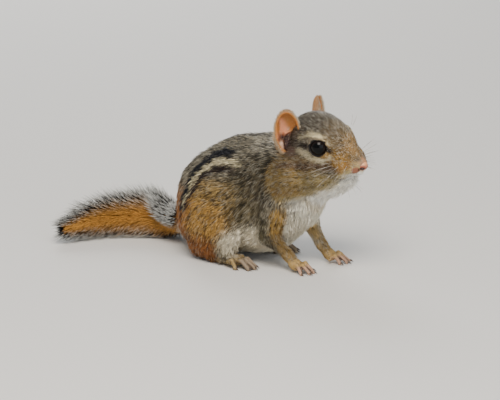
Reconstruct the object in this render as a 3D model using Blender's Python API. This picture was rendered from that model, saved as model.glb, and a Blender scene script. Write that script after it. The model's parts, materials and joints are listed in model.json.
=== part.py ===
"""A life-size eastern chipmunk, crouched on four feet with both cheek pouches full.

Sizes are millimetres here, and each object is made in metres. +X is the way the body faces,
+Y is its left, +Z is up, and it stands at z = 0. The flesh is a field of rounded masses that
run into one another, and its surface is the outline of the coat. The whole body is shaped at
once and then parted into nodes with thin cuts. The tail carries its long hair as locks.
"""

import math
import random

import bmesh
import bpy
import numpy as np
from mathutils import Matrix, Vector

# Driving dimensions
MM = 0.001
GAP = 0.3  # between two nodes that meet
HEAD_AT = (47.2, -1.5, 66.2)  # midway between the eyes
HEAD_TURN = math.radians(-9.0)  # to its right
HEAD_NOD = math.radians(5.0)
HEAD_TILT = math.radians(5.0)
EYE_RADIUS = 4.6
EYE_AT = (0.4, 10.0, 0.3)  # left eye, in the head's own frame
EYE_LOOKS = (0.42, 0.90, 0.10)
EAR_HALF_WIDTH = 6.2
EAR_HALF_HEIGHT = 11.0
EAR_DEPTH = 3.2
EAR_WALL = 1.1
HIND_FOOT_LENGTH = 31.0  # heel to the tip of the longest claw
HIND_CLAW, FORE_CLAW = 2.6, 2.2
HIND_TOE, FORE_TOE = 1.28, 1.05  # toe radii at the knuckle
TAIL_HAIR = 13.0
TAIL_CORE = (5.2, 3.4)  # half width and half thickness
BODY_VOXEL = 0.8
FINE_VOXEL = 0.36
BODY_TRIANGLES = 3300
FOOT_TRIANGLES = 430
EAR_TRIANGLES = 380
NOSE_TRIANGLES = 180


def turned(yaw=0.0, nod=0.0, tilt=0.0):
    """A turn about Z, then Y, then X, in radians, as a 3 x 3 array."""
    turn = Matrix.Rotation(yaw, 3, "Z") @ Matrix.Rotation(nod, 3, "Y") @ Matrix.Rotation(tilt, 3, "X")
    return np.array(turn)


HEAD_FRAME = turned(HEAD_TURN, HEAD_NOD, HEAD_TILT)


class Egg:
    """An ellipsoid mass. turn holds its own axes as columns, and soft is how far it blends."""

    def __init__(self, centre, radii, turn=None, soft=5.0):
        self.centre = np.array(centre, float)
        self.radii = np.array(radii, float)
        self.turn = np.eye(3) if turn is None else np.array(turn, float)
        self.soft = soft
        self.middle = self.centre
        self.reach = self.radii.max()

    def distance(self, points):
        own = (points - self.centre) @ self.turn
        near = np.linalg.norm(own / self.radii, axis=1)
        steep = np.linalg.norm(own / self.radii**2, axis=1)
        return near * (near - 1.0) / np.maximum(steep, 1e-9)

    def placed(self, frame, at):
        return Egg(frame @ self.centre + at, self.radii, frame @ self.turn, self.soft)

    def mirrored(self):
        flip = np.diag([1.0, -1.0, 1.0])
        return Egg(flip @ self.centre, self.radii, flip @ self.turn @ flip, self.soft)

    def rough(self, into, fine=2):
        made = bmesh.ops.create_icosphere(into, subdivisions=fine, radius=1.0)["verts"]
        shape = self.turn @ np.diag(self.radii)
        for vert in made:
            vert.co = shape @ np.array(vert.co) + self.centre


class Limb:
    """A round-ended cone from start to end."""

    def __init__(self, start, end, start_radius, end_radius, soft=4.0):
        self.start = np.array(start, float)
        self.end = np.array(end, float)
        self.start_radius = start_radius
        self.end_radius = end_radius
        self.soft = soft
        self.middle = (self.start + self.end) / 2
        self.reach = np.linalg.norm(self.end - self.start) / 2 + max(start_radius, end_radius)

    def distance(self, points):
        along = self.end - self.start
        share = np.clip((points - self.start) @ along / (along @ along), 0.0, 1.0)
        radius = self.start_radius + (self.end_radius - self.start_radius) * share
        return np.linalg.norm(points - self.start - share[:, None] * along, axis=1) - radius

    def placed(self, frame, at):
        start, end = frame @ self.start + at, frame @ self.end + at
        return Limb(start, end, self.start_radius, self.end_radius, self.soft)

    def mirrored(self):
        flip = np.array([1.0, -1.0, 1.0])
        return Limb(self.start * flip, self.end * flip, self.start_radius, self.end_radius, self.soft)

    def rough(self, into, fine=2):
        along = self.end - self.start
        for vert in bmesh.ops.create_icosphere(into, subdivisions=fine, radius=1.0)["verts"]:
            way = np.array(vert.co)
            far = way @ along > 0.0
            vert.co = self.end + way * self.end_radius if far else self.start + way * self.start_radius


def both_sides(masses):
    """The masses of the left side with their mirror images on the right."""
    return [copy for mass in masses for copy in (mass, mass.mirrored())]


def on_head(masses):
    return [mass.placed(HEAD_FRAME, np.array(HEAD_AT)) for mass in masses]


def field(masses, points):
    """How far each point is from the surface of the blended masses, below zero inside."""
    total = np.full(len(points), 99.0)
    for mass in masses:
        near = np.linalg.norm(points - mass.middle, axis=1) < mass.reach + mass.soft + 6.0
        if not near.any():
            continue
        old, new = total[near], mass.distance(points[near])
        overlap = np.maximum(mass.soft - np.abs(old - new), 0.0)
        total[near] = np.minimum(old, new) - overlap**2 / (4.0 * mass.soft)
    return total


def slope(masses, points, step=0.05):
    """The field's gradient, from four samples round each point."""
    corners = np.array([(1, -1, -1), (-1, -1, 1), (-1, 1, -1), (1, 1, 1)], float)
    samples = [field(masses, points + step * corner)[:, None] * corner for corner in corners]
    return sum(samples) / (4.0 * step)


def settled(masses, points, rounds=3):
    """The points moved along the gradient onto the surface of the blended masses."""
    for _ in range(rounds):
        steep = slope(masses, points)
        size = np.maximum((steep**2).sum(axis=1), 0.05)
        move = -(field(masses, points) / size)[:, None] * steep
        length = np.maximum(np.linalg.norm(move, axis=1), 1e-9)
        points = points + move * np.minimum(1.0, 1.5 / length)[:, None]
    return points


def points_of(mesh):
    points = np.empty(len(mesh.vertices) * 3, np.float32)
    mesh.vertices.foreach_get("co", points)
    return points.reshape(-1, 3).astype(float)


def put_points(mesh, points):
    mesh.vertices.foreach_set("co", points.astype(np.float32).ravel())
    mesh.update()


def evened(mesh, points, share=0.5):
    """The points drawn towards the middle of their neighbours."""
    ends = np.empty(len(mesh.edges) * 2, np.int32)
    mesh.edges.foreach_get("vertices", ends)
    first, second = ends.reshape(-1, 2).T
    both, other = np.concatenate([first, second]), np.concatenate([second, first])
    count = np.bincount(both, minlength=len(points))
    middle = np.stack([np.bincount(both, points[other, k], len(points)) for k in range(3)], axis=1)
    return points + share * (middle / count[:, None] - points)


def add_object(name, mesh):
    thing = bpy.data.objects.new(name, mesh)
    bpy.context.scene.collection.objects.link(thing)
    return thing


def from_bmesh(name, built):
    mesh = bpy.data.meshes.new(name)
    built.to_mesh(mesh)
    built.free()
    return add_object(name, mesh)


def apply_modifiers(thing):
    """Makes the evaluated mesh the object's own and drops its modifiers."""
    graph = bpy.context.evaluated_depsgraph_get()
    mesh = bpy.data.meshes.new_from_object(thing.evaluated_get(graph))
    thing.modifiers.clear()
    old, thing.data = thing.data, mesh
    bpy.data.meshes.remove(old)
    return thing


def remove(*things):
    for thing in things:
        bpy.data.objects.remove(thing)


def remeshed(thing, voxel):
    modifier = thing.modifiers.new("skin", "REMESH")
    modifier.mode = "VOXEL"
    modifier.voxel_size = voxel
    return apply_modifiers(thing)


def blended(name, masses, voxel):
    """One closed mesh on the surface of the blended masses, in millimetres."""
    built = bmesh.new()
    for mass in masses:
        mass.rough(built)
    bmesh.ops.recalc_face_normals(built, faces=built.faces)
    thing = from_bmesh(name, built)
    for size in (voxel * 1.4, voxel):
        remeshed(thing, size)
        points = settled(masses, points_of(thing.data))
        for _ in range(3):
            points = settled(masses, evened(thing.data, points), rounds=1)
        put_points(thing.data, points)
    return thing


def thinned(thing, triangles):
    """Fewer triangles, kept where the surface bends."""
    count = sum(len(face.vertices) - 2 for face in thing.data.polygons)
    modifier = thing.modifiers.new("thin", "DECIMATE")
    modifier.ratio = min(1.0, triangles / count)
    modifier.use_collapse_triangulate = True
    return apply_modifiers(thing)


def boolean(thing, cutter, operation):
    modifier = thing.modifiers.new("cut", "BOOLEAN")
    modifier.object = cutter
    modifier.operation = operation
    modifier.solver = "EXACT"
    return apply_modifiers(thing)


def largest_only(thing):
    """Keeps the object's largest closed surface and drops any scrap that a cut left."""
    built = bmesh.new()
    built.from_mesh(thing.data)
    left, islands = set(built.verts), []
    while left:
        island, front = set(), [left.pop()]
        while front:
            vert = front.pop()
            island.add(vert)
            near = {edge.other_vert(vert) for edge in vert.link_edges} & left
            left -= near
            front += near
        islands.append(island)
    islands.sort(key=len)
    scraps = [vert for island in islands[:-1] for vert in island]
    bmesh.ops.delete(built, geom=scraps, context="VERTS")
    built.to_mesh(thing.data)
    built.free()
    return thing


def copied(thing, name):
    return add_object(name, thing.data.copy())


def swollen(thing, name, by=GAP):
    """A copy that stands out from the surface by a gap, to cut a neighbour clear of it."""
    copy = copied(thing, name)
    normals = np.empty(len(copy.data.vertices) * 3, np.float32)
    copy.data.vertex_normals.foreach_get("vector", normals)
    put_points(copy.data, points_of(copy.data) + by * normals.reshape(-1, 3))
    return copy


def facing_box(name, at, direction, size=160.0):
    """A block whose near face passes through at, square to direction, and lies beyond it."""
    built = bmesh.new()
    bmesh.ops.create_cube(built, size=size)
    bmesh.ops.translate(built, verts=built.verts, vec=(0.0, 0.0, size / 2))
    turn = Vector(direction).to_track_quat("Z", "Y").to_matrix().to_4x4()
    bmesh.ops.transform(built, matrix=Matrix.Translation(Vector(at)) @ turn, verts=built.verts)
    return from_bmesh(name, built)


def parted(body, name, region):
    """The share of body inside region as a new node, with body cut clear of it by the gap."""
    piece = copied(body, name)
    wider = swollen(region, "wider region")
    boolean(piece, region, "INTERSECT")
    boolean(body, wider, "DIFFERENCE")
    largest_only(piece)
    largest_only(body)
    remove(region, wider)
    return piece


def parted_by_plane(body, name, at, direction):
    """The share of body beyond a plane as a new node, with a gap at the plane."""
    way = Vector(direction).normalized()
    return parted(body, name, facing_box("beyond", Vector(at), way))


def above_floor(thing):
    """Cuts away what lies under z = 0, which leaves small flats to stand on."""
    floor = facing_box("floor", (0.0, 0.0, 0.0), (0.0, 0.0, -1.0), size=400.0)
    boolean(thing, floor, "DIFFERENCE")
    remove(floor)
    return largest_only(thing)


# Trunk. The rump is the highest curve at the back, and the chest hangs between the shoulders.
TRUNK = [
    Egg((-13.0, 0.0, 28.5), (26.5, 21.5, 26.5)),
    Egg((-21.0, -1.0, 16.5), (17.0, 17.0, 15.5), soft=6.0),
    Egg((0.0, 0.0, 38.0), (24.0, 18.5, 25.8), soft=8.0),
    Egg((17.0, 0.0, 44.5), (19.0, 16.0, 20.5), soft=8.0),
    Egg((24.5, 1.0, 33.5), (16.0, 13.5, 16.5), soft=8.0),
    Egg((6.0, 0.0, 19.5), (22.0, 16.0, 15.0), soft=8.0),
]
NECK = [
    Limb((16.0, 0.0, 49.0), (37.0, -1.0, 57.5), 15.0, 12.5, soft=7.0),
    Egg((33.0, -1.0, 44.0), (12.5, 12.0, 13.0), soft=7.0),
]
HAUNCH = [
    Egg((-14.0, 16.0, 24.0), (17.5, 9.0, 20.5), turned(math.radians(6.0)), soft=4.0),
    Egg((-4.0, 17.5, 17.5), (9.0, 7.0, 12.5), soft=4.0),
    Limb((-6.0, 16.5, 8.5), (-20.0, 14.0, 7.0), 6.8, 6.0, soft=4.0),
]
SHOULDERS = [
    Egg((25.0, 11.0, 34.5), (9.5, 6.5, 13.0), soft=5.0),
    Egg((20.0, -11.8, 35.0), (10.0, 6.3, 13.0), soft=5.0),
]
TAIL_ROOT = Limb((-31.0, 0.5, 15.0), (-44.0, 5.4, 11.7), 8.5, 5.2, soft=5.0)

# Fore legs. Each runs shoulder, elbow, wrist, and the left foot is set further forward.
FORE_JOINTS = {
    "left": ((26.0, 12.0, 34.0), (26.0, 12.6, 21.5), (34.5, 11.5, 9.0)),
    "right": ((21.0, -12.5, 34.0), (18.5, -13.5, 17.0), (28.5, -11.5, 8.0)),
}
ELBOW_RADIUS = 4.7
WRIST_RADIUS = 3.0
HIND_TOES_AT = {"left": (7.0, 17.0), "right": (4.5, -18.5)}
HIND_HEADING = {"left": math.radians(7.0), "right": math.radians(-7.0)}
FORE_HEADING = {"left": math.radians(14.0), "right": math.radians(-5.0)}


def fore_leg(side):
    shoulder, elbow, wrist = FORE_JOINTS[side]
    upper = Limb(shoulder, elbow, 6.8, ELBOW_RADIUS, soft=5.0)
    lower = Limb(elbow, wrist, ELBOW_RADIUS, WRIST_RADIUS, soft=3.0)
    return [upper, lower]


# Head, in its own frame: x along the muzzle, y to its left, z up, from midway between the eyes.
SKULL = [
    Egg((-8.0, 0.0, 1.2), (15.6, 13.2, 12.2), soft=5.0),
    Egg((3.2, 0.0, 1.0), (9.8, 8.2, 8.6), soft=5.0),
    Limb((6.2, 0.0, -1.2), (17.5, 0.0, -6.4), 7.3, 3.9, soft=4.0),
    Limb((2.0, 0.0, -16.0), (10.8, 0.0, -16.3), 9.8, 5.1, soft=4.0),
    Egg((-6.0, 0.0, -16.0), (16.0, 10.5, 13.0), soft=7.0),
]
FACE_SIDE = [
    Egg((14.2, 3.0, -8.9), (5.6, 3.9, 4.3), soft=2.5),
    Egg((4.5, 7.2, -8.5), (11.0, 5.8, 7.6), soft=4.0),
    Egg((-4.0, 9.3, -15.0), (13.0, 8.0, 9.5), soft=4.0),
]
POUCH = Egg((-15.3, 13.4, -19.4), (13.2, 9.8, 10.9), turned(0.1, -0.1, 0.0), soft=1.6)
LID_ACROSS, LID_UP = 4.8, 4.45
LID_THICKNESS = 1.05
LID_STEPS = 12


def lid_ring():
    """The rim of both lids round the left eye, as a ring of short round links."""
    looks = Vector(EYE_LOOKS).normalized()
    across = Vector((1.0, -0.35, -0.12)).cross(looks).cross(looks).normalized()
    up = looks.cross(across)
    centre = Vector(EYE_AT) + looks * 2.0
    angles = [2 * math.pi * step / LID_STEPS for step in range(LID_STEPS + 1)]
    rim = [centre + across * LID_ACROSS * math.cos(a) + up * LID_UP * math.sin(a) for a in angles]
    return [Limb(a, b, LID_THICKNESS, LID_THICKNESS, soft=0.9) for a, b in zip(rim, rim[1:])]


LIPS = [
    Limb((18.6, 0.6, -11.5), (12.4, 4.9, -12.2), 1.3, 1.4, soft=1.2),
    Limb((12.4, 4.9, -12.2), (8.0, 7.4, -11.4), 1.4, 1.6, soft=1.6),
]
MOUTH_LINE = [  # from the middle of the lip to the left corner
    (18.1, 0.0, -13.1),
    (15.5, 2.6, -13.3),
    (12.4, 4.9, -13.9),
    (9.2, 7.2, -13.3),
    (7.9, 8.6, -12.3),
]
MOUTH_GAP = 0.45
NOSE = [
    Egg((20.4, 0.0, -7.4), (2.1, 2.1, 2.2), soft=1.0),
    Egg((19.6, 1.5, -7.9), (1.9, 1.5, 1.7), soft=1.0),
    Egg((19.6, -1.5, -7.9), (1.9, 1.5, 1.7), soft=1.0),
    Limb((20.2, 0.0, -8.6), (19.3, 0.0, -11.0), 1.0, 0.8, soft=0.8),
]
NOSTRIL = Egg((21.3, 1.75, -8.2), (1.1, 0.62, 0.5), turned(math.radians(35.0)))

# Ear, in the head's frame. The cup opens forward and out, and its foot sinks into the skull.
EAR_AT = (-17.6, 12.6, 4.6)
EAR_OPENS = (0.60, 0.79, 0.08)
EAR_LEANS = (-0.03, 0.13, 0.99)


def ear_axes():
    """The ear's opening, width and height directions as columns."""
    opens = Vector(EAR_OPENS).normalized()
    wide = Vector(EAR_LEANS).cross(opens).normalized()
    return np.array([opens, wide, opens.cross(wide)]).T


def eye_ball(name, radius, side):
    built = bmesh.new()
    bmesh.ops.create_uvsphere(built, u_segments=18, v_segments=10, radius=radius)
    looks = Vector(EYE_LOOKS).normalized()
    at = Vector(EYE_AT)
    if side == "right":
        looks.y, at.y = -looks.y, -at.y
    turn = looks.to_track_quat("Z", "Y").to_matrix().to_4x4()
    bmesh.ops.transform(built, matrix=Matrix.Translation(at) @ turn, verts=built.verts)
    thing = from_bmesh(name, built)
    put_points(thing.data, points_of(thing.data) @ HEAD_FRAME.T + HEAD_AT)
    return thing


def mouth_cutter():
    """A thin round groove along the mouth, from one corner round the lip to the other."""
    left = [np.array(p) for p in MOUTH_LINE]
    route = [p * (1, -1, 1) for p in reversed(left[1:])] + left
    built = bmesh.new()
    for start, end in zip(route, route[1:]):
        Limb(start, end, MOUTH_GAP, MOUTH_GAP).placed(HEAD_FRAME, np.array(HEAD_AT)).rough(built)
    bmesh.ops.recalc_face_normals(built, faces=built.faces)
    return thinned(remeshed(from_bmesh("mouth line", built), 0.16), 260)


def plain_shapes(name, masses, fine=2):
    """The masses as plain closed shapes, to cut with."""
    built = bmesh.new()
    for mass in masses:
        mass.rough(built, fine)
    bmesh.ops.recalc_face_normals(built, faces=built.faces)
    return from_bmesh(name, built)


def make_ear(name, side, head_clear):
    """A thin cup of skin with a thicker front rim, cut clear of the skull at its foot."""
    axes = ear_axes()
    half = (EAR_DEPTH, EAR_HALF_WIDTH, EAR_HALF_HEIGHT)
    shell = Egg(EAR_AT, half, axes)
    inner = (half[0] + 0.8, half[1] - EAR_WALL * 0.75, half[2] - EAR_WALL * 0.75)
    hollow = Egg(np.array(EAR_AT) + axes[:, 0] * (inner[0] - half[0] + EAR_WALL), inner, axes)
    lift = np.array(EAR_AT)
    front_rim = [
        Limb(lift + axes @ (0.4, 5.4, 4.0), lift + axes @ (0.9, 5.9, -3.0), 0.9, 1.2, soft=1.0),
        Limb(lift + axes @ (0.9, 5.9, -3.0), lift + axes @ (-0.5, 4.6, -8.0), 1.2, 1.6, soft=1.0),
    ]
    if side == "right":
        shell, hollow = shell.mirrored(), hollow.mirrored()
        front_rim = [mass.mirrored() for mass in front_rim]
    shell, hollow = on_head([shell, hollow])
    rim = on_head(front_rim)
    ear = plain_shapes(name, [shell], fine=4)
    bowl = plain_shapes("bowl", [hollow], fine=4)
    boolean(ear, bowl, "DIFFERENCE")
    rolled = plain_shapes("rolled rim", rim)
    remeshed(rolled, FINE_VOXEL)
    boolean(ear, rolled, "UNION")
    remeshed(ear, FINE_VOXEL)
    points = points_of(ear.data)
    for _ in range(2):
        points = evened(ear.data, points, share=0.35)
    put_points(ear.data, points)
    thinned(ear, EAR_TRIANGLES)
    boolean(ear, head_clear, "DIFFERENCE")
    remove(bowl, rolled)
    return largest_only(ear)


# Toes: where each leaves the foot (forward, to the left), its length, and how far it splays.
HIND_TOES = (
    (-3.6, 4.3, 5.6, 14.0),
    (-0.6, 2.3, 8.6, 6.0),
    (0.0, 0.1, 9.2, 0.0),
    (-0.7, -2.1, 8.4, -6.0),
    (-4.4, -3.9, 5.2, -18.0),
)
FORE_TOES = (
    (-0.9, 2.6, 6.2, 22.0),
    (0.0, 0.9, 7.8, 7.0),
    (0.0, -0.9, 7.8, -6.0),
    (-0.9, -2.6, 6.2, -20.0),
)


def toes(table, at, heading, thickness, claw, knuckle=1.5):
    """Each toe rises to a knuckle and comes down to a pad, and ends in a curved claw."""
    made = []
    for forward, aside, length, splay in table:
        frame = turned(heading)
        root = frame @ (forward, aside, 0.0) + at
        way = turned(heading + math.radians(splay)) @ (1.0, 0.0, 0.0)
        up = np.array([0.0, 0.0, 1.0])
        bend = root + way * length * 0.45 + up * knuckle
        tip = root + way * length + up * (thickness * 0.85 - root[2])
        claw_knee = tip + way * claw * 0.55 + up * 0.3
        claw_tip = tip + way * claw - up * (tip[2] - 0.35)
        made += [
            Limb(root, bend, thickness * 1.15, thickness, soft=1.0),
            Limb(bend, tip, thickness, thickness * 0.88, soft=0.6),
            Limb(tip + up * 0.25, claw_knee, 0.62, 0.50, soft=0.3),
            Limb(claw_knee, claw_tip, 0.50, 0.30, soft=0.2),
        ]
    return made


def hind_foot(side):
    """Heel, sole and five toes. The ankle end runs up inside the haunch."""
    x, y = HIND_TOES_AT[side]
    heading = HIND_HEADING[side]
    at = np.array([x, y, 2.9])
    frame = turned(heading)
    longest = max(toe[2] for toe in HIND_TOES)
    sole = HIND_FOOT_LENGTH - longest - HIND_CLAW
    heel = frame @ (-sole + 2.8, 0.0, 0.2) + at
    masses = [
        Limb(heel, frame @ (-5.0, 0.0, 0.6) + at, 3.2, 3.3, soft=2.0),
        Egg(frame @ (-2.6, 0.1, 0.3) + at, (4.4, 4.9, 2.7), frame, soft=2.0),
        Limb(heel, heel + (1.0, 0.0, 7.0), 3.2, 4.2, soft=2.0),
    ]
    table = HIND_TOES if side == "left" else [(f, -a, length, -s) for f, a, length, s in HIND_TOES]
    return masses + toes(table, at, heading, HIND_TOE, HIND_CLAW)


def fore_foot(side):
    """Wrist, palm, four toes and the stub of a thumb."""
    elbow, wrist = (np.array(joint) for joint in FORE_JOINTS[side][1:])
    heading = FORE_HEADING[side]
    frame = turned(heading)
    palm = wrist + frame @ (4.6, 0.0, 0.0)
    palm[2] = 3.6
    at = palm + frame @ (1.6, 0.0, -0.8)
    inward = -1.0 if side == "left" else 1.0
    thumb = palm + frame @ (-0.8, inward * 2.6, -1.0)
    masses = [
        Limb(wrist + (elbow - wrist) * 0.3, wrist, 3.6, WRIST_RADIUS, soft=2.0),
        Limb(wrist, palm, WRIST_RADIUS, 2.6, soft=2.0),
        Egg(palm, (3.3, 3.6, 2.5), turned(heading, math.radians(12.0)), soft=2.0),
        Limb(thumb, thumb + frame @ (2.0, inward * 1.6, -1.0), 1.0, 0.8, soft=0.8),
    ]
    return masses + toes(FORE_TOES, at, heading, FORE_TOE, FORE_CLAW)


# Tail. It leaves the rump on the left, lies round in one bend and is turned on its edge.
TAIL_ROUTE = [
    (-43.0, 5.0, 11.8),
    (-53.0, 8.8, 11.0),
    (-65.0, 9.4, 10.4),
    (-77.5, 3.6, 9.8),
    (-87.0, -7.0, 9.2),
    (-93.0, -21.0, 8.0),
]
TAIL_TURN = (25.0, 100.0)  # degrees rolled at the root, and from a third of the way on
TAIL_STATIONS = 12
LOCKS_ROUND = 8
TAIL_NODES = 4
TIP_LOCKS = 5
LOCK_SEED = 7
LOCK_WIDTH = 4.7
LOCK_THICKNESS = 1.2
LOCK_PROFILE = (0.5, 1.0, 0.74)  # share of the width at each ring, before the tip
LOCK_RINGS = len(LOCK_PROFILE)
FLOOR_CLEAR = 0.55
CONE_SPREAD = math.radians(44.0)


def tail_at(share):
    """A point on the tail's line and its directions: along, broad (up at the bend) and back."""
    spots = [Vector(p) for p in TAIL_ROUTE]
    spots = [spots[0] * 2 - spots[1], *spots, spots[-1] * 2 - spots[-2]]
    spans = len(TAIL_ROUTE) - 1
    place = min(max(share, 0.0), 0.99999) * spans
    k, t = int(place), place - int(place)
    a, b, c, d = spots[k : k + 4]
    point = 0.5 * (2 * b + (c - a) * t + (2 * a - 5 * b + 4 * c - d) * t**2 + (3 * b - a - 3 * c + d) * t**3)
    along = ((c - a) + 2 * (2 * a - 5 * b + 4 * c - d) * t + 3 * (3 * b - a - 3 * c + d) * t**2).normalized()
    outward = Vector((along.y, -along.x, 0.0)).normalized()
    ease = min(1.0, share / 0.33)
    roll = math.radians(TAIL_TURN[0] + (TAIL_TURN[1] - TAIL_TURN[0]) * ease * ease * (3 - 2 * ease))
    back = (Vector((0, 0, 1)) * math.cos(roll) + outward * math.sin(roll)).normalized()
    back = (back - along * back.dot(along)).normalized()
    return point, along, along.cross(back), back


def core_size(share):
    """The core's half width and half thickness, which shrink at the tip."""
    taper = 1.0 - 0.72 * max(0.0, share - 0.45) / 0.55
    return TAIL_CORE[0] * taper, TAIL_CORE[1] * taper


def tail_core():
    masses, steps = [], 26
    for step in range(steps + 1):
        share = step / steps
        point, along, broad, back = tail_at(share)
        wide, thick = core_size(share)
        masses.append(Egg(point, (2.6, wide, thick), np.array([along, broad, back]).T, soft=3.0))
    return thinned(blended("tail core", masses, 0.8), 260)


def lock(route, back, width, thickness):
    """One closed, tapered and flattened lock of hair along a bent line, keeled on one side."""
    built = bmesh.new()
    rings = []
    for step, point in enumerate(route[:-1]):
        ahead = (route[step + 1] - route[max(step - 1, 0)]).normalized()
        flat = ahead.cross(back).normalized() * width / 2
        keel = flat.cross(ahead).normalized() * thickness
        fade = LOCK_PROFILE[step]
        corners = (point + flat * fade, point + keel * 0.65 * fade, point - flat * fade - keel * 0.2)
        rings.append([built.verts.new(corner) for corner in corners])
    tip = built.verts.new(route[-1])
    for low, high in zip(rings, rings[1:]):
        for k in range(3):
            built.faces.new((low[k], low[k - 2], high[k - 2], high[k]))
    for k in range(3):
        built.faces.new((rings[-1][k], rings[-1][k - 2], tip))
    built.faces.new(list(reversed(rings[0])))
    bmesh.ops.recalc_face_normals(built, faces=built.faces)
    return from_bmesh("lock", built)


def lock_route(share, angle, length, lie, rng):
    """A lock's line: out of the core, bending back towards the tip and along the floor."""
    point, along, broad, back = tail_at(share)
    wide, thick = core_size(share)
    out = broad * math.cos(angle) + back * math.sin(angle)
    root = point + broad * math.cos(angle) * wide * 0.35 + back * math.sin(angle) * thick * 0.35
    route, spot = [root], root.copy()
    for step in range(LOCK_RINGS):
        bend = lie - math.radians(22.0) * step / LOCK_RINGS
        spot = spot + (out * math.sin(bend) + along * math.cos(bend)) * length / LOCK_RINGS
        spot.z = max(spot.z, FLOOR_CLEAR + 0.35 * rng.random())
        route.append(spot.copy())
    return route


def tail_locks():
    """The tail's long hair as separate closed locks, row by row and round the core."""
    rng = random.Random(LOCK_SEED)
    made = []
    for station in range(TAIL_STATIONS):
        share = (station + 0.1) / TAIL_STATIONS
        count = LOCKS_ROUND if share < 0.8 else LOCKS_ROUND - 2
        for k in range(count):
            angle = 2 * math.pi * (k + 0.5 * (station % 2)) / count + rng.uniform(-0.1, 0.1)
            broadness = abs(math.cos(angle)) ** 1.5
            length = TAIL_HAIR * (0.72 + 0.38 * broadness) * (1.0 - 0.2 * share) * rng.uniform(0.93, 1.07)
            lie = math.radians(64.0 - 34.0 * max(0.0, share - 0.6) / 0.4)
            route = lock_route(share, angle, length, lie, rng)
            _, along, broad, back = tail_at(share)
            facing = back * (1.0 if math.sin(angle) > 0 else -1.0) + broad * rng.uniform(-0.25, 0.25)
            made.append(lock(route, facing, LOCK_WIDTH * rng.uniform(0.9, 1.1), LOCK_THICKNESS))
    point, along, broad, back = tail_at(1.0)
    for k in range(TIP_LOCKS):
        angle = 2 * math.pi * k / TIP_LOCKS
        aside = broad * math.cos(angle) + back * math.sin(angle)
        start = point - along * 2.5 + aside * 0.6
        stride = (along + aside * 0.24) * TAIL_HAIR / LOCK_RINGS
        route = [start + stride * step for step in range(LOCK_RINGS + 1)]
        for spot in route:
            spot.z = max(spot.z, FLOOR_CLEAR)
        made.append(lock(route, aside, LOCK_WIDTH * 0.8, LOCK_THICKNESS))
    return made


def fuse(base, others):
    """One closed mesh from a base and a collection of closed meshes."""
    group = bpy.data.collections.new("fuse")
    for thing in others:
        group.objects.link(thing)
    modifier = base.modifiers.new("fuse", "BOOLEAN")
    modifier.operation = "UNION"
    modifier.operand_type = "COLLECTION"
    modifier.collection = group
    modifier.solver = "MANIFOLD"
    apply_modifiers(base)
    remove(*others)
    bpy.data.collections.remove(group)
    return base


def hair_cone(share, spread, height=46.0):
    """A cone that opens towards the tip, so that a cut follows the lie of the locks."""
    point, along, broad, _ = tail_at(share)
    built = bmesh.new()
    bmesh.ops.create_cone(
        built, cap_ends=True, segments=20, radius1=height * math.tan(spread), radius2=0.0, depth=height
    )
    bmesh.ops.translate(built, verts=built.verts, vec=(0, 0, -height / 2))
    turn = (-along).to_track_quat("Z", "Y").to_matrix().to_4x4()
    bmesh.ops.transform(built, matrix=Matrix.Translation(point) @ turn, verts=built.verts)
    return from_bmesh("hair cone", built)


def make_tail():
    """The whole tail fused, cut from the rump by a plane and into lengths by cones."""
    tail = fuse(tail_core(), tail_locks())
    above_floor(tail)
    nodes = []
    for k in range(TAIL_NODES - 1, 0, -1):
        share = k / TAIL_NODES - 0.03
        nodes.append(parted(tail, f"tail_{k + 1}", hair_cone(share, CONE_SPREAD)))
    tail.name = "tail_1"
    return [tail, *nodes]


COLOURS = {
    "torso": (0.150, 0.108, 0.075),
    "neck": (0.330, 0.250, 0.165),
    "head": (0.210, 0.135, 0.080),
    "cheek": (0.420, 0.270, 0.105),
    "thigh": (0.360, 0.165, 0.045),
    "foreleg": (0.330, 0.215, 0.090),
    "tail": (0.085, 0.062, 0.045),
    "ear": (0.560, 0.270, 0.150),
    "forefoot": (0.520, 0.350, 0.220),
    "hindfoot": (0.400, 0.270, 0.150),
    "nose": (0.420, 0.200, 0.150),
    "eye": (0.010, 0.008, 0.008),
}
SHINE = {"eye": 0.06, "nose": 0.45, "ear": 0.70, "forefoot": 0.70, "hindfoot": 0.70}


def material(name):
    """The node's own finish: matt hair, barer skin, or the wet eye."""
    kind = name.split("_")[0]
    made = bpy.data.materials.new(name)
    made.use_nodes = True
    shader = made.node_tree.nodes["Principled BSDF"]
    shader.inputs["Base Color"].default_value = (*COLOURS[kind], 1.0)
    shader.inputs["Roughness"].default_value = SHINE.get(kind, 0.85)
    shader.inputs["Metallic"].default_value = 0.0
    return made


def finish(thing, middle):
    """Moves a node to the frame's origin, turns it to metres, and gives it its material."""
    put_points(thing.data, (points_of(thing.data) - middle) * MM)
    thing.data.materials.clear()
    thing.data.materials.append(material(thing.name))
    thing.data.shade_smooth()
    thing.data.set_sharp_from_angle(angle=math.radians(50.0))


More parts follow.
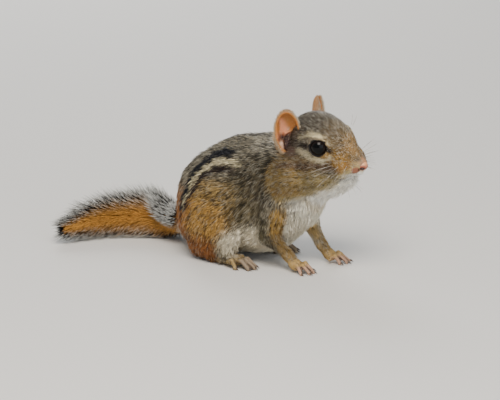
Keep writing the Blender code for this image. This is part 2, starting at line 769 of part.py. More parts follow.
def make_chipmunk():
    """Shapes the body, parts it into nodes, and returns each node with its material's name."""
    legs = fore_leg("left") + fore_leg("right")
    trunk = TRUNK + NECK + SHOULDERS + both_sides(HAUNCH) + legs + [TAIL_ROOT]
    head = on_head(SKULL + both_sides([*FACE_SIDE, POUCH, *LIPS, *lid_ring()]))
    body = blended("torso", trunk + head, BODY_VOXEL)
    thinned(body, BODY_TRIANGLES)
    clear = swollen(body, "body clearance")
    nodes = {}

    for side in ("left", "right"):
        nodes[f"ear_{side}"] = make_ear(f"ear_{side}", side, clear)
        nodes[f"eye_{side}"] = eye_ball(f"eye_{side}", EYE_RADIUS, side)
        socket = eye_ball("socket", EYE_RADIUS + GAP, side)
        boolean(body, socket, "DIFFERENCE")
        remove(socket)
    largest_only(body)

    nose = thinned(blended("nose", on_head(NOSE), FINE_VOXEL), NOSE_TRIANGLES)
    boolean(nose, clear, "DIFFERENCE")
    nostrils = plain_shapes("nostrils", on_head([NOSTRIL, NOSTRIL.mirrored()]))
    boolean(nose, nostrils, "DIFFERENCE")
    nodes["nose"] = largest_only(nose)
    mouth = mouth_cutter()
    boolean(body, mouth, "DIFFERENCE")
    remove(nostrils, mouth, clear)

    for side in ("left", "right"):
        heading = FORE_HEADING[side]
        elbow, wrist = (np.array(joint) for joint in FORE_JOINTS[side][1:])
        foot = thinned(blended(f"forefoot_{side}", fore_foot(side), FINE_VOXEL), FOOT_TRIANGLES)
        way = wrist - elbow
        at = wrist - way * 0.04
        trim = facing_box("wrist", Vector(at), -Vector(way))
        boolean(foot, trim, "DIFFERENCE")
        remove(trim)
        nodes[f"forefoot_{side}"] = above_floor(largest_only(foot))
        way = Vector(way).normalized()
        hand = facing_box("hand", Vector(at) - way * GAP, way, size=14.0)
        boolean(body, hand, "DIFFERENCE")
        remove(hand)

        foot = thinned(blended(f"hindfoot_{side}", hind_foot(side), FINE_VOXEL), FOOT_TRIANGLES)
        nodes[f"hindfoot_{side}"] = above_floor(foot)
        room = swollen(foot, "foot clearance")
        boolean(body, room, "DIFFERENCE")
        remove(room)
    above_floor(body)

    tail = make_tail()
    root, along, _, _ = tail_at(0.02)
    stump = facing_box("stump", root - along * GAP, along, size=40.0)
    boolean(body, stump, "DIFFERENCE")
    remove(stump)
    start = facing_box("start", root, -along, size=60.0)
    boolean(tail[0], start, "DIFFERENCE")
    remove(start)
    for thing in tail:
        nodes[thing.name] = largest_only(thing)

    for side, mass in (("left", POUCH), ("right", POUCH.mirrored())):
        mirror = 1.0 if side == "left" else -1.0
        wider = Egg(mass.centre + (-0.5, 3.5 * mirror, -0.8), mass.radii + 1.3, mass.turn)
        region = thinned(blended("pouch region", on_head([wider]), 1.4), 200)
        nodes[f"cheek_pouch_{side}"] = parted(body, f"cheek_pouch_{side}", region)
        thigh = [
            Egg((-14.0, mirror * 19.0, 23.5), (19.0, 9.4, 21.5)),
            Egg((-3.5, mirror * 20.5, 17.0), (9.8, 7.4, 14.0)),
        ]
        region = blended("thigh region", thigh, 1.6)
        nodes[f"thigh_{side}"] = parted(body, f"thigh_{side}", thinned(region, 180))
        wide = (0.0, 2.5 * mirror, 0.0)
        leg = [
            Limb(bone.start + wide, bone.end + wide, bone.start_radius + 2.4, bone.end_radius + 2.4)
            for bone in fore_leg(side)
        ]
        region = blended("leg region", leg, 1.4)
        nodes[f"foreleg_{side}"] = parted(body, f"foreleg_{side}", thinned(region, 160))
    nodes["head"] = parted_by_plane(body, "head", (32.0, -1.0, 58.0), (0.86, -0.06, 0.50))
    nodes["neck"] = parted_by_plane(body, "neck", (19.0, 0.0, 52.0), (0.93, -0.02, 0.37))
    nodes["torso"] = largest_only(body)
    return nodes


def main():
    for thing in list(bpy.data.objects):
        bpy.data.objects.remove(thing)
    nodes = make_chipmunk()
    for name, thing in nodes.items():
        thing.name = name
    spread = np.concatenate([points_of(thing.data) for thing in nodes.values()])
    middle = (spread.min(axis=0) + spread.max(axis=0)) / 2
    middle[2] = 0.0
    for thing in nodes.values():
        finish(thing, middle)


main()
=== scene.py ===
"""A life-size eastern chipmunk with full cheek pouches, crouched as in the photograph.

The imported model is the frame. Lengths are millimetres in the animal's own frame (+X ahead,
+Y to its left, +Z up) until a mesh is placed, which is in metres.
"""

import json
import math

import bmesh
import bpy
import numpy as np
from mathutils import Matrix, Vector

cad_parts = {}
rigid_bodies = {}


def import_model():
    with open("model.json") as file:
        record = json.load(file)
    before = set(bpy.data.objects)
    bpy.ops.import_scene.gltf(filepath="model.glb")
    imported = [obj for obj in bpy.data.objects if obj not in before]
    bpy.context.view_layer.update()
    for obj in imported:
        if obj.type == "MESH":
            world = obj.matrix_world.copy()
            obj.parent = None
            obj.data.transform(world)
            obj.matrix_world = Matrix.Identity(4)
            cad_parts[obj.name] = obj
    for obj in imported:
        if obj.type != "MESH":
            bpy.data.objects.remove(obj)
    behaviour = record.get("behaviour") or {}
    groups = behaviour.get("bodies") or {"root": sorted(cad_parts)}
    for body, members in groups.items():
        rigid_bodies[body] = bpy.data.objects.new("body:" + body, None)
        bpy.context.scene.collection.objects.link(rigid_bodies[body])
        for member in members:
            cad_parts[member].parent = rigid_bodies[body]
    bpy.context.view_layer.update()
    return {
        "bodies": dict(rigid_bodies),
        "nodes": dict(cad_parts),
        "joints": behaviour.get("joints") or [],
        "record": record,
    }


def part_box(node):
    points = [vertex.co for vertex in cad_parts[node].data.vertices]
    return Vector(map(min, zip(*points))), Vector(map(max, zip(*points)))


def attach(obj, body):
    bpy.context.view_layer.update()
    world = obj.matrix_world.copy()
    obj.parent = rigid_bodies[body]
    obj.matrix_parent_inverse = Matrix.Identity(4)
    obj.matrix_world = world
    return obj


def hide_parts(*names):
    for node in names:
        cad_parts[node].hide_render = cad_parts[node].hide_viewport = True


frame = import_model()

# The photograph's view. A long lens looks down 15 degrees at the animal's right side, from 30
# degrees ahead of square on, and one pixel is half a millimetre at the animal. The animal's own
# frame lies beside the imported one, and the right eye's box says how far.
MM = 0.001
HEAD_AT = np.array((47.2, -1.5, 66.2))  # midway between the eyes
EYE_RADIUS = 4.6
EYE_AT = np.array((0.4, 10.0, 0.3))  # left eye, in the head's frame
EYE_LOOKS = np.array((0.42, 0.90, 0.10))
MIRROR = np.array((1.0, -1.0, 1.0))
SIDES = {"left": np.ones(3), "right": MIRROR}


def turned(yaw=0.0, nod=0.0, tilt=0.0):
    """A turn about Z, then Y, then X, in degrees, as a 3 x 3 array."""
    yaw, nod, tilt = (math.radians(angle) for angle in (yaw, nod, tilt))
    turn = Matrix.Rotation(yaw, 3, "Z") @ Matrix.Rotation(nod, 3, "Y") @ Matrix.Rotation(tilt, 3, "X")
    return np.array(turn)


HEAD_TURN = turned(-9.0, 5.0, 5.0)
right_eye = HEAD_TURN @ (EYE_AT * MIRROR) + HEAD_AT
SHIFT = np.array(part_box("eye_right")).mean(axis=0) / MM - right_eye

VIEW_AZIMUTH, VIEW_ELEVATION = math.radians(30.0), math.radians(15.0)
VIEW_DISTANCE = 2.5
view_back = Vector(
    (
        math.sin(VIEW_AZIMUTH) * math.cos(VIEW_ELEVATION),
        -math.cos(VIEW_AZIMUTH) * math.cos(VIEW_ELEVATION),
        math.sin(VIEW_ELEVATION),
    )
)
camera = bpy.data.objects.new("camera", bpy.data.cameras.new("camera"))
bpy.context.scene.collection.objects.link(camera)
camera.data.sensor_width = 36.0
camera.data.lens = 360.0
camera.data.clip_start = 0.05
camera.location = Vector((np.array((0.0, 0.0, 29.7)) + SHIFT) * MM) + view_back * VIEW_DISTANCE
camera.rotation_euler = view_back.to_track_quat("Z", "Y").to_euler()
bpy.context.scene.camera = camera


# Floor and studio light. A pale matt sweep, one broad soft key above and ahead of the animal's
# right side, a weak fill behind the camera and a rim from behind, in an even pale room.
def linear(code):
    """An sRGB hex colour as linear red, green and blue."""
    parts = [int(code[k : k + 2], 16) / 255.0 for k in (1, 3, 5)]
    return np.array([c / 12.92 if c <= 0.04045 else ((c + 0.055) / 1.055) ** 2.4 for c in parts])


def add_node(tree, kind, links=(), **settings):
    """A node with its settings and sockets, and links given as (output socket, own input)."""
    made = tree.nodes.new(kind)
    for name, value in settings.items():
        if name in made.inputs:
            made.inputs[name].default_value = value
        elif name.replace("_", " ") in made.inputs:
            made.inputs[name.replace("_", " ")].default_value = value
        else:
            setattr(made, name, value)
    for output, own in links:
        tree.links.new(output, made.inputs[own])
    return made


def new_material(name, **shader_settings):
    """A material with only a Principled shader, and that shader and its tree."""
    made = bpy.data.materials.new(name)
    made.use_nodes = True
    made.node_tree.nodes.clear()
    shader = add_node(made.node_tree, "ShaderNodeBsdfPrincipled", **shader_settings)
    add_node(made.node_tree, "ShaderNodeOutputMaterial", [(shader.outputs[0], "Surface")])
    return made, shader, made.node_tree


def placed(name, mesh, *materials):
    """An object at the origin that holds the mesh."""
    thing = bpy.data.objects.new(name, mesh)
    bpy.context.scene.collection.objects.link(thing)
    for each in materials:
        thing.data.materials.append(each)
    return thing


def mesh_of(built, name):
    """The shape as a mesh."""
    mesh = bpy.data.meshes.new(name)
    built.to_mesh(mesh)
    built.free()
    return mesh


# Floor paint: dull, clouded so faintly over 4 m that it looks even here.
built = bmesh.new()
bmesh.ops.create_grid(built, x_segments=1, y_segments=1, size=6.0)
floor_paint, floor_shader, floor_tree = new_material("matt floor paint", Roughness=0.9)
mottle = add_node(floor_tree, "ShaderNodeTexNoise", Scale=3.0, Detail=2.0)
floor_tone = add_node(floor_tree, "ShaderNodeMix", [(mottle.outputs[0], 0)], data_type="RGBA")
floor_tone.inputs[6].default_value = (*linear("#d9d7d2"), 1.0)
floor_tone.inputs[7].default_value = (*linear("#dedcd8"), 1.0)
floor_tree.links.new(floor_tone.outputs[2], floor_shader.inputs["Base Color"])
floor_mesh = mesh_of(built, "floor")
placed("floor", floor_mesh, floor_paint)

room = bpy.data.worlds.new("room")
bpy.context.scene.world = room
room.use_nodes = True
sky = room.node_tree.nodes["Background"]
sky.inputs["Color"].default_value = (*linear("#e9eef4"), 1.0)
sky.inputs["Strength"].default_value = 0.55

for name, toward, size, power, colour in (
    ("key", (0.25, -0.55, 0.85), 0.55, 13.0, "#fff6ea"),
    ("fill", (0.9, -0.6, 0.25), 0.9, 4.5, "#eef4ff"),
    ("rim", (-0.7, 0.75, 0.6), 0.5, 6.0, "#ffffff"),
):
    lamp = bpy.data.objects.new(name, bpy.data.lights.new(name, "AREA"))
    bpy.context.scene.collection.objects.link(lamp)
    lamp.data.size, lamp.data.energy, lamp.data.color = size, power, linear(colour)
    lamp.location = Vector(toward).normalized() * 1.1
    lamp.rotation_euler = Vector(toward).to_track_quat("Z", "Y").to_euler()


# The flesh. One living skin over the whole body, from the lips to the tip of the tail. It is a
# field of rounded masses that run into one another, the same as in the solids, and the skin lies
# inside their surface by the depth of the coat.
class Egg:
    """An ellipsoid mass. turn holds its own axes as columns, and soft is how far it blends."""

    def __init__(self, centre, radii, turn=None, soft=5.0):
        self.centre = self.middle = np.array(centre, float)
        self.radii = np.array(radii, float)
        self.turn = np.eye(3) if turn is None else np.array(turn, float)
        self.soft = soft
        self.reach = self.radii.max()

    def distance(self, points):
        own = (points - self.centre) @ self.turn
        near = np.linalg.norm(own / self.radii, axis=1)
        steep = np.linalg.norm(own / self.radii**2, axis=1)
        return near * (near - 1.0) / np.maximum(steep, 1e-9)

    def moved(self, frame, at=0.0):
        return Egg(frame @ self.centre + at, self.radii, frame @ self.turn, self.soft)

    def mirrored(self):
        flip = np.diag(MIRROR)
        return Egg(self.centre * MIRROR, self.radii, flip @ self.turn @ flip, self.soft)

    def rough(self, into):
        shape = self.turn @ np.diag(self.radii)
        for vert in bmesh.ops.create_icosphere(into, subdivisions=3, radius=1.0)["verts"]:
            vert.co = shape @ np.array(vert.co) + self.centre


class Limb:
    """A round-ended cone from start to end."""

    def __init__(self, start, end, start_radius, end_radius, soft=4.0):
        self.start, self.end = np.array(start, float), np.array(end, float)
        self.radii = start_radius, end_radius
        self.soft = soft
        self.middle = (self.start + self.end) / 2
        self.reach = np.linalg.norm(self.end - self.start) / 2 + max(self.radii)

    def distance(self, points):
        along = self.end - self.start
        share = np.clip((points - self.start) @ along / (along @ along), 0.0, 1.0)
        radius = self.radii[0] + (self.radii[1] - self.radii[0]) * share
        return np.linalg.norm(points - self.start - share[:, None] * along, axis=1) - radius

    def moved(self, frame, at=0.0):
        return Limb(frame @ self.start + at, frame @ self.end + at, *self.radii, self.soft)

    def mirrored(self):
        return Limb(self.start * MIRROR, self.end * MIRROR, *self.radii, self.soft)

    def rough(self, into):
        along = self.end - self.start
        for vert in bmesh.ops.create_icosphere(into, subdivisions=2, radius=1.0)["verts"]:
            way = np.array(vert.co)
            far = way @ along > 0.0
            vert.co = (self.end if far else self.start) + way * self.radii[int(far)]


def both_sides(masses):
    return [copy for mass in masses for copy in (mass, mass.mirrored())]


def on_head(masses):
    return [mass.moved(HEAD_TURN, HEAD_AT) for mass in masses]


def field(masses, points):
    """How far each point is from the surface of the blended masses, below zero inside."""
    total = np.full(len(points), 99.0)
    for mass in masses:
        near = np.linalg.norm(points - mass.middle, axis=1) < mass.reach + mass.soft + 6.0
        if not near.any():
            continue
        old, new = total[near], mass.distance(points[near])
        overlap = np.maximum(mass.soft - np.abs(old - new), 0.0)
        total[near] = np.minimum(old, new) - overlap**2 / (4.0 * mass.soft)
    return total


def settled(surface, points, rounds=3, step=0.05):
    """The points moved down the gradient onto the surface, where its value is zero."""
    corners = np.array([(1, -1, -1), (-1, -1, 1), (-1, 1, -1), (1, 1, 1)], float)
    for _ in range(rounds):
        samples = [surface(points + step * corner) for corner in corners]
        slope = sum(s[:, None] * corner for s, corner in zip(samples, corners)) / (4.0 * step)
        value = sum(samples) / 4.0
        move = -(value / np.maximum((slope**2).sum(axis=1), 0.05))[:, None] * slope
        length = np.maximum(np.linalg.norm(move, axis=1), 1e-9)
        points = points + move * np.minimum(1.0, 1.5 / length)[:, None]
    return points


def read(parts, name, width, kind=np.float32):
    """A row of values for each of a mesh's points, edges, triangles or corners."""
    values = np.empty(len(parts) * width, kind)
    parts.foreach_get(name, values)
    return values.reshape(-1, width)


def points_of(mesh):
    return read(mesh.vertices, "co", 3).astype(float)


def put_points(mesh, points):
    mesh.vertices.foreach_set("co", points.astype(np.float32).ravel())
    mesh.update()


def evened(mesh, points, share=0.5):
    """The points drawn towards the middle of their neighbours."""
    first, second = read(mesh.edges, "vertices", 2, np.int32).T
    both, other = np.concatenate([first, second]), np.concatenate([second, first])
    count = np.maximum(np.bincount(both, minlength=len(points)), 1)
    middle = np.stack([np.bincount(both, points[other, k], len(points)) for k in range(3)], axis=1)
    return points + share * (middle / count[:, None] - points)


def apply_modifiers(thing):
    graph = bpy.context.evaluated_depsgraph_get()
    mesh = bpy.data.meshes.new_from_object(thing.evaluated_get(graph))
    thing.modifiers.clear()
    old, thing.data = thing.data, mesh
    bpy.data.meshes.remove(old)


def shaped(name, masses, surface, voxels, built=None, plain=None, limit=185_000):
    """A closed mesh on the surface, remeshed from rough masses at each voxel size in turn.

    built may hold more rough shape. Where plain(points) is 1 the mesh is then made coarser, until
    it has no more than limit triangles.
    """
    built = built or bmesh.new()
    for mass in masses:
        mass.rough(built)
    bmesh.ops.recalc_face_normals(built, faces=built.faces)
    thing = placed(name, mesh_of(built, name))
    for voxel in voxels:
        modifier = thing.modifiers.new("skin", "REMESH")
        modifier.mode = "VOXEL"
        modifier.voxel_size = voxel
        apply_modifiers(thing)
        if plain and voxel == voxels[-1]:
            share = plain(points_of(thing.data))
            group = thing.vertex_groups.new(name="plain")
            for level in range(1, 9):
                chosen = np.flatnonzero(np.ceil(share * 8) == level)
                group.add(chosen.tolist(), level / 8, "REPLACE")
            modifier = thing.modifiers.new("thin", "DECIMATE")
            modifier.ratio = min(1.0, limit / (2.0 * len(thing.data.polygons)))
            modifier.vertex_group = "plain"
            modifier.use_collapse_triangulate = True
            apply_modifiers(thing)
            thing.vertex_groups.clear()
        points = settled(surface, points_of(thing.data), rounds=3)
        for _ in range(2):
            points = settled(surface, evened(thing.data, points), rounds=1)
        put_points(thing.data, points)
    thing.data.shade_smooth()
    return thing


TRUNK = [
    Egg((-13.0, 0.0, 28.5), (26.5, 21.5, 26.5)),
    Egg((-21.0, -1.0, 16.5), (17.0, 17.0, 15.5), soft=6.0),
    Egg((0.0, 0.0, 38.0), (24.0, 18.5, 25.8), soft=8.0),
    Egg((17.0, 0.0, 44.5), (19.0, 16.0, 20.5), soft=8.0),
    Egg((24.5, 1.0, 33.5), (16.0, 13.5, 16.5), soft=8.0),
    Egg((6.0, 0.0, 19.5), (22.0, 16.0, 15.0), soft=8.0),
]
NECK = [
    Limb((16.0, 0.0, 49.0), (37.0, -1.0, 57.5), 15.0, 12.5, soft=7.0),
    Egg((33.0, -1.0, 44.0), (12.5, 12.0, 13.0), soft=7.0),
]
SHOULDERS = [
    Egg((25.0, 11.0, 34.5), (9.5, 6.5, 13.0), soft=5.0),
    Egg((20.0, -11.8, 35.0), (10.0, 6.3, 13.0), soft=5.0),
]
HAUNCH = [
    Egg((-14.0, 16.0, 24.0), (17.5, 9.0, 20.5), turned(6.0), soft=4.0),
    Egg((-4.0, 17.5, 17.5), (9.0, 7.0, 12.5), soft=4.0),
    Limb((-6.0, 16.5, 8.5), (-20.0, 14.0, 7.0), 6.8, 6.0, soft=4.0),
]
SKULL = [
    Egg((-8.0, 0.0, 1.2), (15.6, 13.2, 12.2), soft=5.0),
    Egg((3.2, 0.0, 1.0), (9.8, 8.2, 8.6), soft=5.0),
    Limb((6.2, 0.0, -1.2), (17.5, 0.0, -6.4), 7.3, 3.9, soft=4.0),
    Limb((2.0, 0.0, -16.0), (10.8, 0.0, -16.3), 9.8, 5.1, soft=4.0),
    Egg((-6.0, 0.0, -16.0), (16.0, 10.5, 13.0), soft=7.0),
]
POUCH = Egg((-15.3, 13.4, -19.4), (13.2, 9.8, 10.9), turned(5.7, -5.7), soft=1.6)
FACE_SIDE = [
    Egg((14.2, 3.0, -8.9), (5.6, 3.9, 4.3), soft=2.5),
    Egg((4.5, 7.2, -8.5), (11.0, 5.8, 7.6), soft=4.0),
    Egg((-4.0, 9.3, -15.0), (13.0, 8.0, 9.5), soft=4.0),
    POUCH,
    Limb((18.6, 0.6, -11.5), (12.4, 4.9, -12.2), 1.3, 1.4, soft=1.2),
    Limb((12.4, 4.9, -12.2), (8.0, 7.4, -11.4), 1.4, 1.6, soft=1.6),
]
MOUTH_LINE = [(18.6, 0.0, -13.1), (15.5, 2.6, -13.3), (12.4, 4.9, -13.9), (9.2, 7.2, -13.3)]
NOSE_SLIT = [(20.0, 2.9, -8.6), (17.2, 5.3, -9.1)]
LIPS = [Limb(a, b, 0.22, 0.22) for a, b in zip(MOUTH_LINE, MOUTH_LINE[1:])]
MOUTH = on_head(both_sides([*LIPS, Limb(*NOSE_SLIT, 0.42, 0.24)]))


def lid_ring(across_radius, up_radius, ahead, thickness, steps=18):
    """A ring of short round links about the left eye, in the head's frame."""
    looks = Vector(EYE_LOOKS).normalized()
    across = Vector((1.0, -0.35, -0.12)).cross(looks).cross(looks).normalized()
    up = looks.cross(across)
    centre = Vector(EYE_AT) + looks * ahead
    turns = [2 * math.pi * step / steps for step in range(steps + 1)]
    rim = [centre + across * across_radius * math.cos(a) + up * up_radius * math.sin(a) for a in turns]
    return [Limb(a, b, thickness, thickness, soft=0.9) for a, b in zip(rim, rim[1:])]


# Each fore leg runs shoulder, elbow, wrist. Toes leave the foot at (ahead, to the left) and have
# a length and a splay in degrees. The claws are pieces of their own.
FORE_JOINTS = {
    "left": ((26.0, 12.0, 34.0), (26.0, 12.6, 21.5), (34.5, 11.5, 9.0)),
    "right": ((21.0, -12.5, 34.0), (18.5, -13.5, 17.0), (28.5, -11.5, 8.0)),
}
FORE_HEADING = {"left": 14.0, "right": -5.0}
HIND_TOES_AT = {"left": (7.0, 17.0), "right": (4.5, -18.5)}
HIND_HEADING = {"left": 7.0, "right": -7.0}
HIND_TOES = (
    (-3.6, 4.3, 5.6, 14), (-0.6, 2.3, 8.6, 6), (0, 0.1, 9.2, 0),
    (-0.7, -2.1, 8.4, -6), (-4.4, -3.9, 5.2, -18),
)
FORE_TOES = ((-0.9, 2.6, 6.2, 22), (0, 0.9, 7.8, 7), (0, -0.9, 7.8, -6), (-0.9, -2.6, 6.2, -20))
UP = np.array((0.0, 0.0, 1.0))
claw_bones = []  # root, knee and tip of each claw
toe_gaps = []  # thin grooves between neighbouring toes


def toes(table, at, heading, thickness, claw):
    """Each toe rises to a knuckle and comes down to a pad, and bears a claw."""
    made, ridges = [], []
    for ahead, aside, length, splay in table:
        root = turned(heading) @ (ahead, aside, 0.0) + at
        way = turned(heading + splay) @ (1.0, 0.0, 0.0)
        knuckle = root + way * length * 0.45 + UP * 1.5
        tip = root + way * length + UP * (thickness * 0.85 - root[2])
        made.append(Limb(root, knuckle, thickness * 1.15, thickness * 1.04, soft=1.0))
        made.append(Limb(knuckle, tip, thickness * 0.96, thickness * 0.88, soft=0.6))
        pad = np.array((1.05, 0.95, 0.7)) * thickness
        made.append(Egg(tip - UP * 0.25, pad, turned(heading + splay), 0.5))
        ridges.append((root + UP * (knuckle[2] - root[2] + thickness * 0.5), tip + UP * 0.3))
        claw_knee = tip + way * claw * 0.55 + UP * 0.42
        claw_bones.append((tip + UP * 0.35, claw_knee, tip + way * claw - UP * (tip[2] - 0.25)))
    for (a, b), (c, d) in zip(ridges, ridges[1:]):
        root, tip, low = 0.5 * (a + c), 0.5 * (b + d), UP * 0.9
        toe_gaps.append(Limb(root + 0.1 * (b - a), tip, 0.3, 0.42, soft=0.3))
        toe_gaps.append(Limb(root + 0.45 * (b - a) - low, tip - low, 0.25, 0.42, soft=0.3))
    return made


legs, feet = [], []
for side in SIDES:
    inward = -1.0 if side == "left" else 1.0
    shoulder, elbow, wrist = (np.array(joint) for joint in FORE_JOINTS[side])
    legs += [Limb(shoulder, elbow, 6.8, 4.7, soft=5.0), Limb(elbow, wrist, 4.7, 3.0, soft=3.0)]
    heading = turned(FORE_HEADING[side])
    palm = wrist + heading @ (4.6, 0.0, 0.0)
    palm[2] = 3.6
    thumb = palm + heading @ (-0.8, inward * 2.6, -1.0)
    feet += [
        Limb(wrist, palm, 3.0, 2.6, soft=2.0),
        Egg(palm, (3.3, 3.6, 2.5), turned(FORE_HEADING[side], 12.0), soft=2.0),
        Limb(thumb, thumb + heading @ (2.0, inward * 1.6, -1.0), 1.0, 0.8, soft=0.8),
    ]
    feet += toes(FORE_TOES, palm + heading @ (1.6, 0.0, -0.8), FORE_HEADING[side], 1.05, 2.2)
    heading = turned(HIND_HEADING[side])
    ball = np.array((*HIND_TOES_AT[side], 2.9))
    heel = heading @ (-16.4, 0.0, 0.2) + ball
    feet += [
        Limb(heel, heading @ (-5.0, 0.0, 0.6) + ball, 3.2, 3.3, soft=2.0),
        Egg(heading @ (-2.6, 0.1, 0.3) + ball, (4.4, 4.9, 2.7), heading, soft=2.0),
        Limb(heel, heel + (1.0, 0.0, 7.0), 3.2, 4.2, soft=2.0),
    ]
    table = HIND_TOES if side == "left" else [(a, -s, l, -t) for a, s, l, t in HIND_TOES]
    feet += toes(table, ball, HIND_HEADING[side], 1.28, 2.6)

# The tail leaves the rump, lies round in one bend on the floor, and is rolled on its edge so
# that its underside faces the viewer. Its flesh is thin, and its bulk is hair.
TAIL_ROUTE = [
    (-43.0, 5.0, 11.8), (-53.0, 8.8, 11.0), (-65.0, 9.4, 10.4),
    (-77.5, 3.6, 9.8), (-87.0, -7.0, 9.2), (-93.0, -21.0, 8.0),
]
TAIL_HAIR = 13.0


def tail_at(share):
    """A point on the tail's line, and its directions along, broad and back."""
    spots = [Vector(p) for p in TAIL_ROUTE]
    spots = [spots[0] * 2 - spots[1], *spots, spots[-1] * 2 - spots[-2]]
    place = min(max(share, 0.0), 0.99999) * (len(TAIL_ROUTE) - 1)
    k, t = int(place), place - int(place)
    a, b, c, d = spots[k : k + 4]
    bend, twist = 2 * a - 5 * b + 4 * c - d, 3 * b - a - 3 * c + d
    point = 0.5 * (2 * b + (c - a) * t + bend * t**2 + twist * t**3)
    along = ((c - a) + 2 * bend * t + 3 * twist * t**2).normalized()
    outward = Vector((along.y, -along.x, 0.0)).normalized()
    ease = min(1.0, share / 0.33)
    roll = math.radians(25.0 + 75.0 * ease * ease * (3 - 2 * ease))
    back = Vector((0, 0, 1)) * math.cos(roll) + outward * math.sin(roll)
    back = (back - along * back.dot(along)).normalized()
    return [np.array(v) for v in (point, along, along.cross(back), back)]


TAIL_SAMPLES = [tail_at(step / 120) for step in range(121)]
tail_flesh = [Limb((-31.0, 0.5, 15.0), (-44.0, 5.4, 11.7), 8.5, 5.0, soft=5.0)]
for step in range(31):
    point, along, broad, back = tail_at(step / 30)
    thin = 0.88 * (1.0 - 0.72 * max(0.0, step / 30 - 0.45) / 0.55)
    turn = np.array([along, broad, back]).T
    tail_flesh.append(Egg(point, (2.6, 5.2 * thin, 3.4 * thin), turn, soft=3.0))

body = TRUNK + NECK + SHOULDERS + both_sides(HAUNCH) + legs
head = on_head(SKULL + both_sides(FACE_SIDE + lid_ring(4.85, 4.15, 2.0, 1.0)))
flesh = body + head + feet + tail_flesh


def smooth(start, end, value):
    """0 before start, 1 after end, eased between them. start may be the larger one."""
    share = np.clip((value - start) / (end - start), 0.0, 1.0)
    return share * share * (3.0 - 2.0 * share)


def zone(points, centre, radii, edge=0.3):
    """1 inside an ellipsoid and 0 outside it, over an edge that is a share of its size."""
    return smooth(1.0 + edge, 1.0 - edge, np.linalg.norm((points - centre) / np.array(radii), axis=1))


def band(points, line, width, edge=0.35):
    """1 within width of a line of points, 0 away from it."""
    near = np.full(len(points), 99.0)
    for start, end in zip(line, line[1:]):
        near = np.minimum(near, Limb(start, end, 0.0, 0.0).distance(points))
    return smooth(width * (1.0 + edge), width * (1.0 - edge), near)


def sides_of(points):
    """The points in the body's frame and in the head's, each with both sides laid on one."""
    frames = (points, (points - HEAD_AT) @ HEAD_TURN)
    return [np.abs(own * (0, 1, 0)) + own * (1, 0, 1) for own in frames]


def on_right_leg(points, side):
    """The places in the body's frame, moved as if the left fore leg stood where the right one does.

    It stands 6 mm further ahead.
    """
    ahead = 6.0 * (points[:, 1] > 0) * smooth(34.0, 10.0, side[:, 2])
    return side - ahead[:, None] * (1.0, 0.0, 0.0)


def head_share(points):
    """1 on the head and its pouches, 0 on the neck and body."""
    _, face = sides_of(points)
    past = (points - (30.0, -1.0, 57.0)) @ np.array((0.86, -0.06, 0.50))
    pouch = smooth(1.8, 0.2, POUCH.distance(face))
    return np.maximum(smooth(-3.0, 1.5, past), pouch)


LIDS_AT = EYE_AT + EYE_LOOKS * 2.0


def coat_length(points):
    """How long the hair is at each point: long on the rump and throat, shortest at nose and toes."""
    side, face = sides_of(points)
    x, y, z = side.T
    leg = on_right_leg(points, side)
    on_face = head_share(points)
    length = 6.0 + 1.0 * zone(side, (-28, 8, 18), (16, 22, 18))

    def towards(goal, amount):
        length[:] += (goal - length) * amount

    towards(3.0, zone(leg, (23, 13, 12), (10, 9, 12)))
    beard = 1.9 * smooth(-16.0, -21.0, face[:, 2]) * smooth(14.0, 4.0, face[:, 1])
    towards(2.7 + beard, on_face)
    towards(1.3, smooth(4.0, 15.5, face[:, 0]) * smooth(-16.0, -12.5, face[:, 2]) * on_face)
    towards(3.4, zone(face, (12.0, 0.0, -19.0), (9.0, 7.0, 5.5), 0.4) * on_face)
    length += 2.2 * zone(face, (-22.5, 11.0, 2.0), (5.0, 5.0, 6.0), 0.5)
    towards(1.0, zone(face, LIDS_AT, (8.5, 8.5, 7.5), 0.25) * on_face)
    pad = zone(face, (20.2, 0.0, -8.0), (3.2, 4.0, 4.2)) * on_face
    pad = np.maximum(pad, zone(face, (18.3, 4.2, -9.1), (2.3, 2.6, 1.7)) * on_face)
    towards(0.35, pad)
    fore = smooth(11.5, 7.0, z) * smooth(24.0, 29.0, leg[:, 0])
    hind = smooth(6.6, 4.6, z) * smooth(-9.0, -4.0, x - 2.5 * (points[:, 1] > 0)) * smooth(9.0, 12.0, y)
    towards(1.3 - 0.75 * smooth(32.0, 36.0, leg[:, 0]), fore)
    towards(1.2 - 0.6 * smooth(1.0, 6.0, x), hind)
    return length


LIE_SHARE = 0.33  # how high a lying hair's tip stands, for its length


def on_tail(points):
    """1 on the tail past its root, where the hair is long and made apart from the coat."""
    return smooth(-38.0, -44.0, points[:, 0])


def skin_surface(points):
    """The masses less the coat's depth, with the mouth's groove, and cut off at the floor."""
    depth = LIE_SHARE * coat_length(points) * (1.0 - on_tail(points))
    groove = np.minimum(field(MOUTH, points), field(toe_gaps, points))
    shape = np.maximum(field(flesh, points) + depth, -groove)
    return np.maximum(shape, 0.06 - points[:, 2])


def plain_share(points):
    """1 on the body, where long hair hides the skin, down to an eighth on face, toes and lips."""
    return np.clip(smooth(1.6, 3.0, coat_length(points)), 0.12, 1.0)


skin = shaped("skin", flesh, skin_surface, (1.1, 0.42), plain=plain_share)
skin_points = points_of(skin.data)
skin_points[:, 2] = np.maximum(skin_points[:, 2], 0.05)
put_points(skin.data, skin_points)


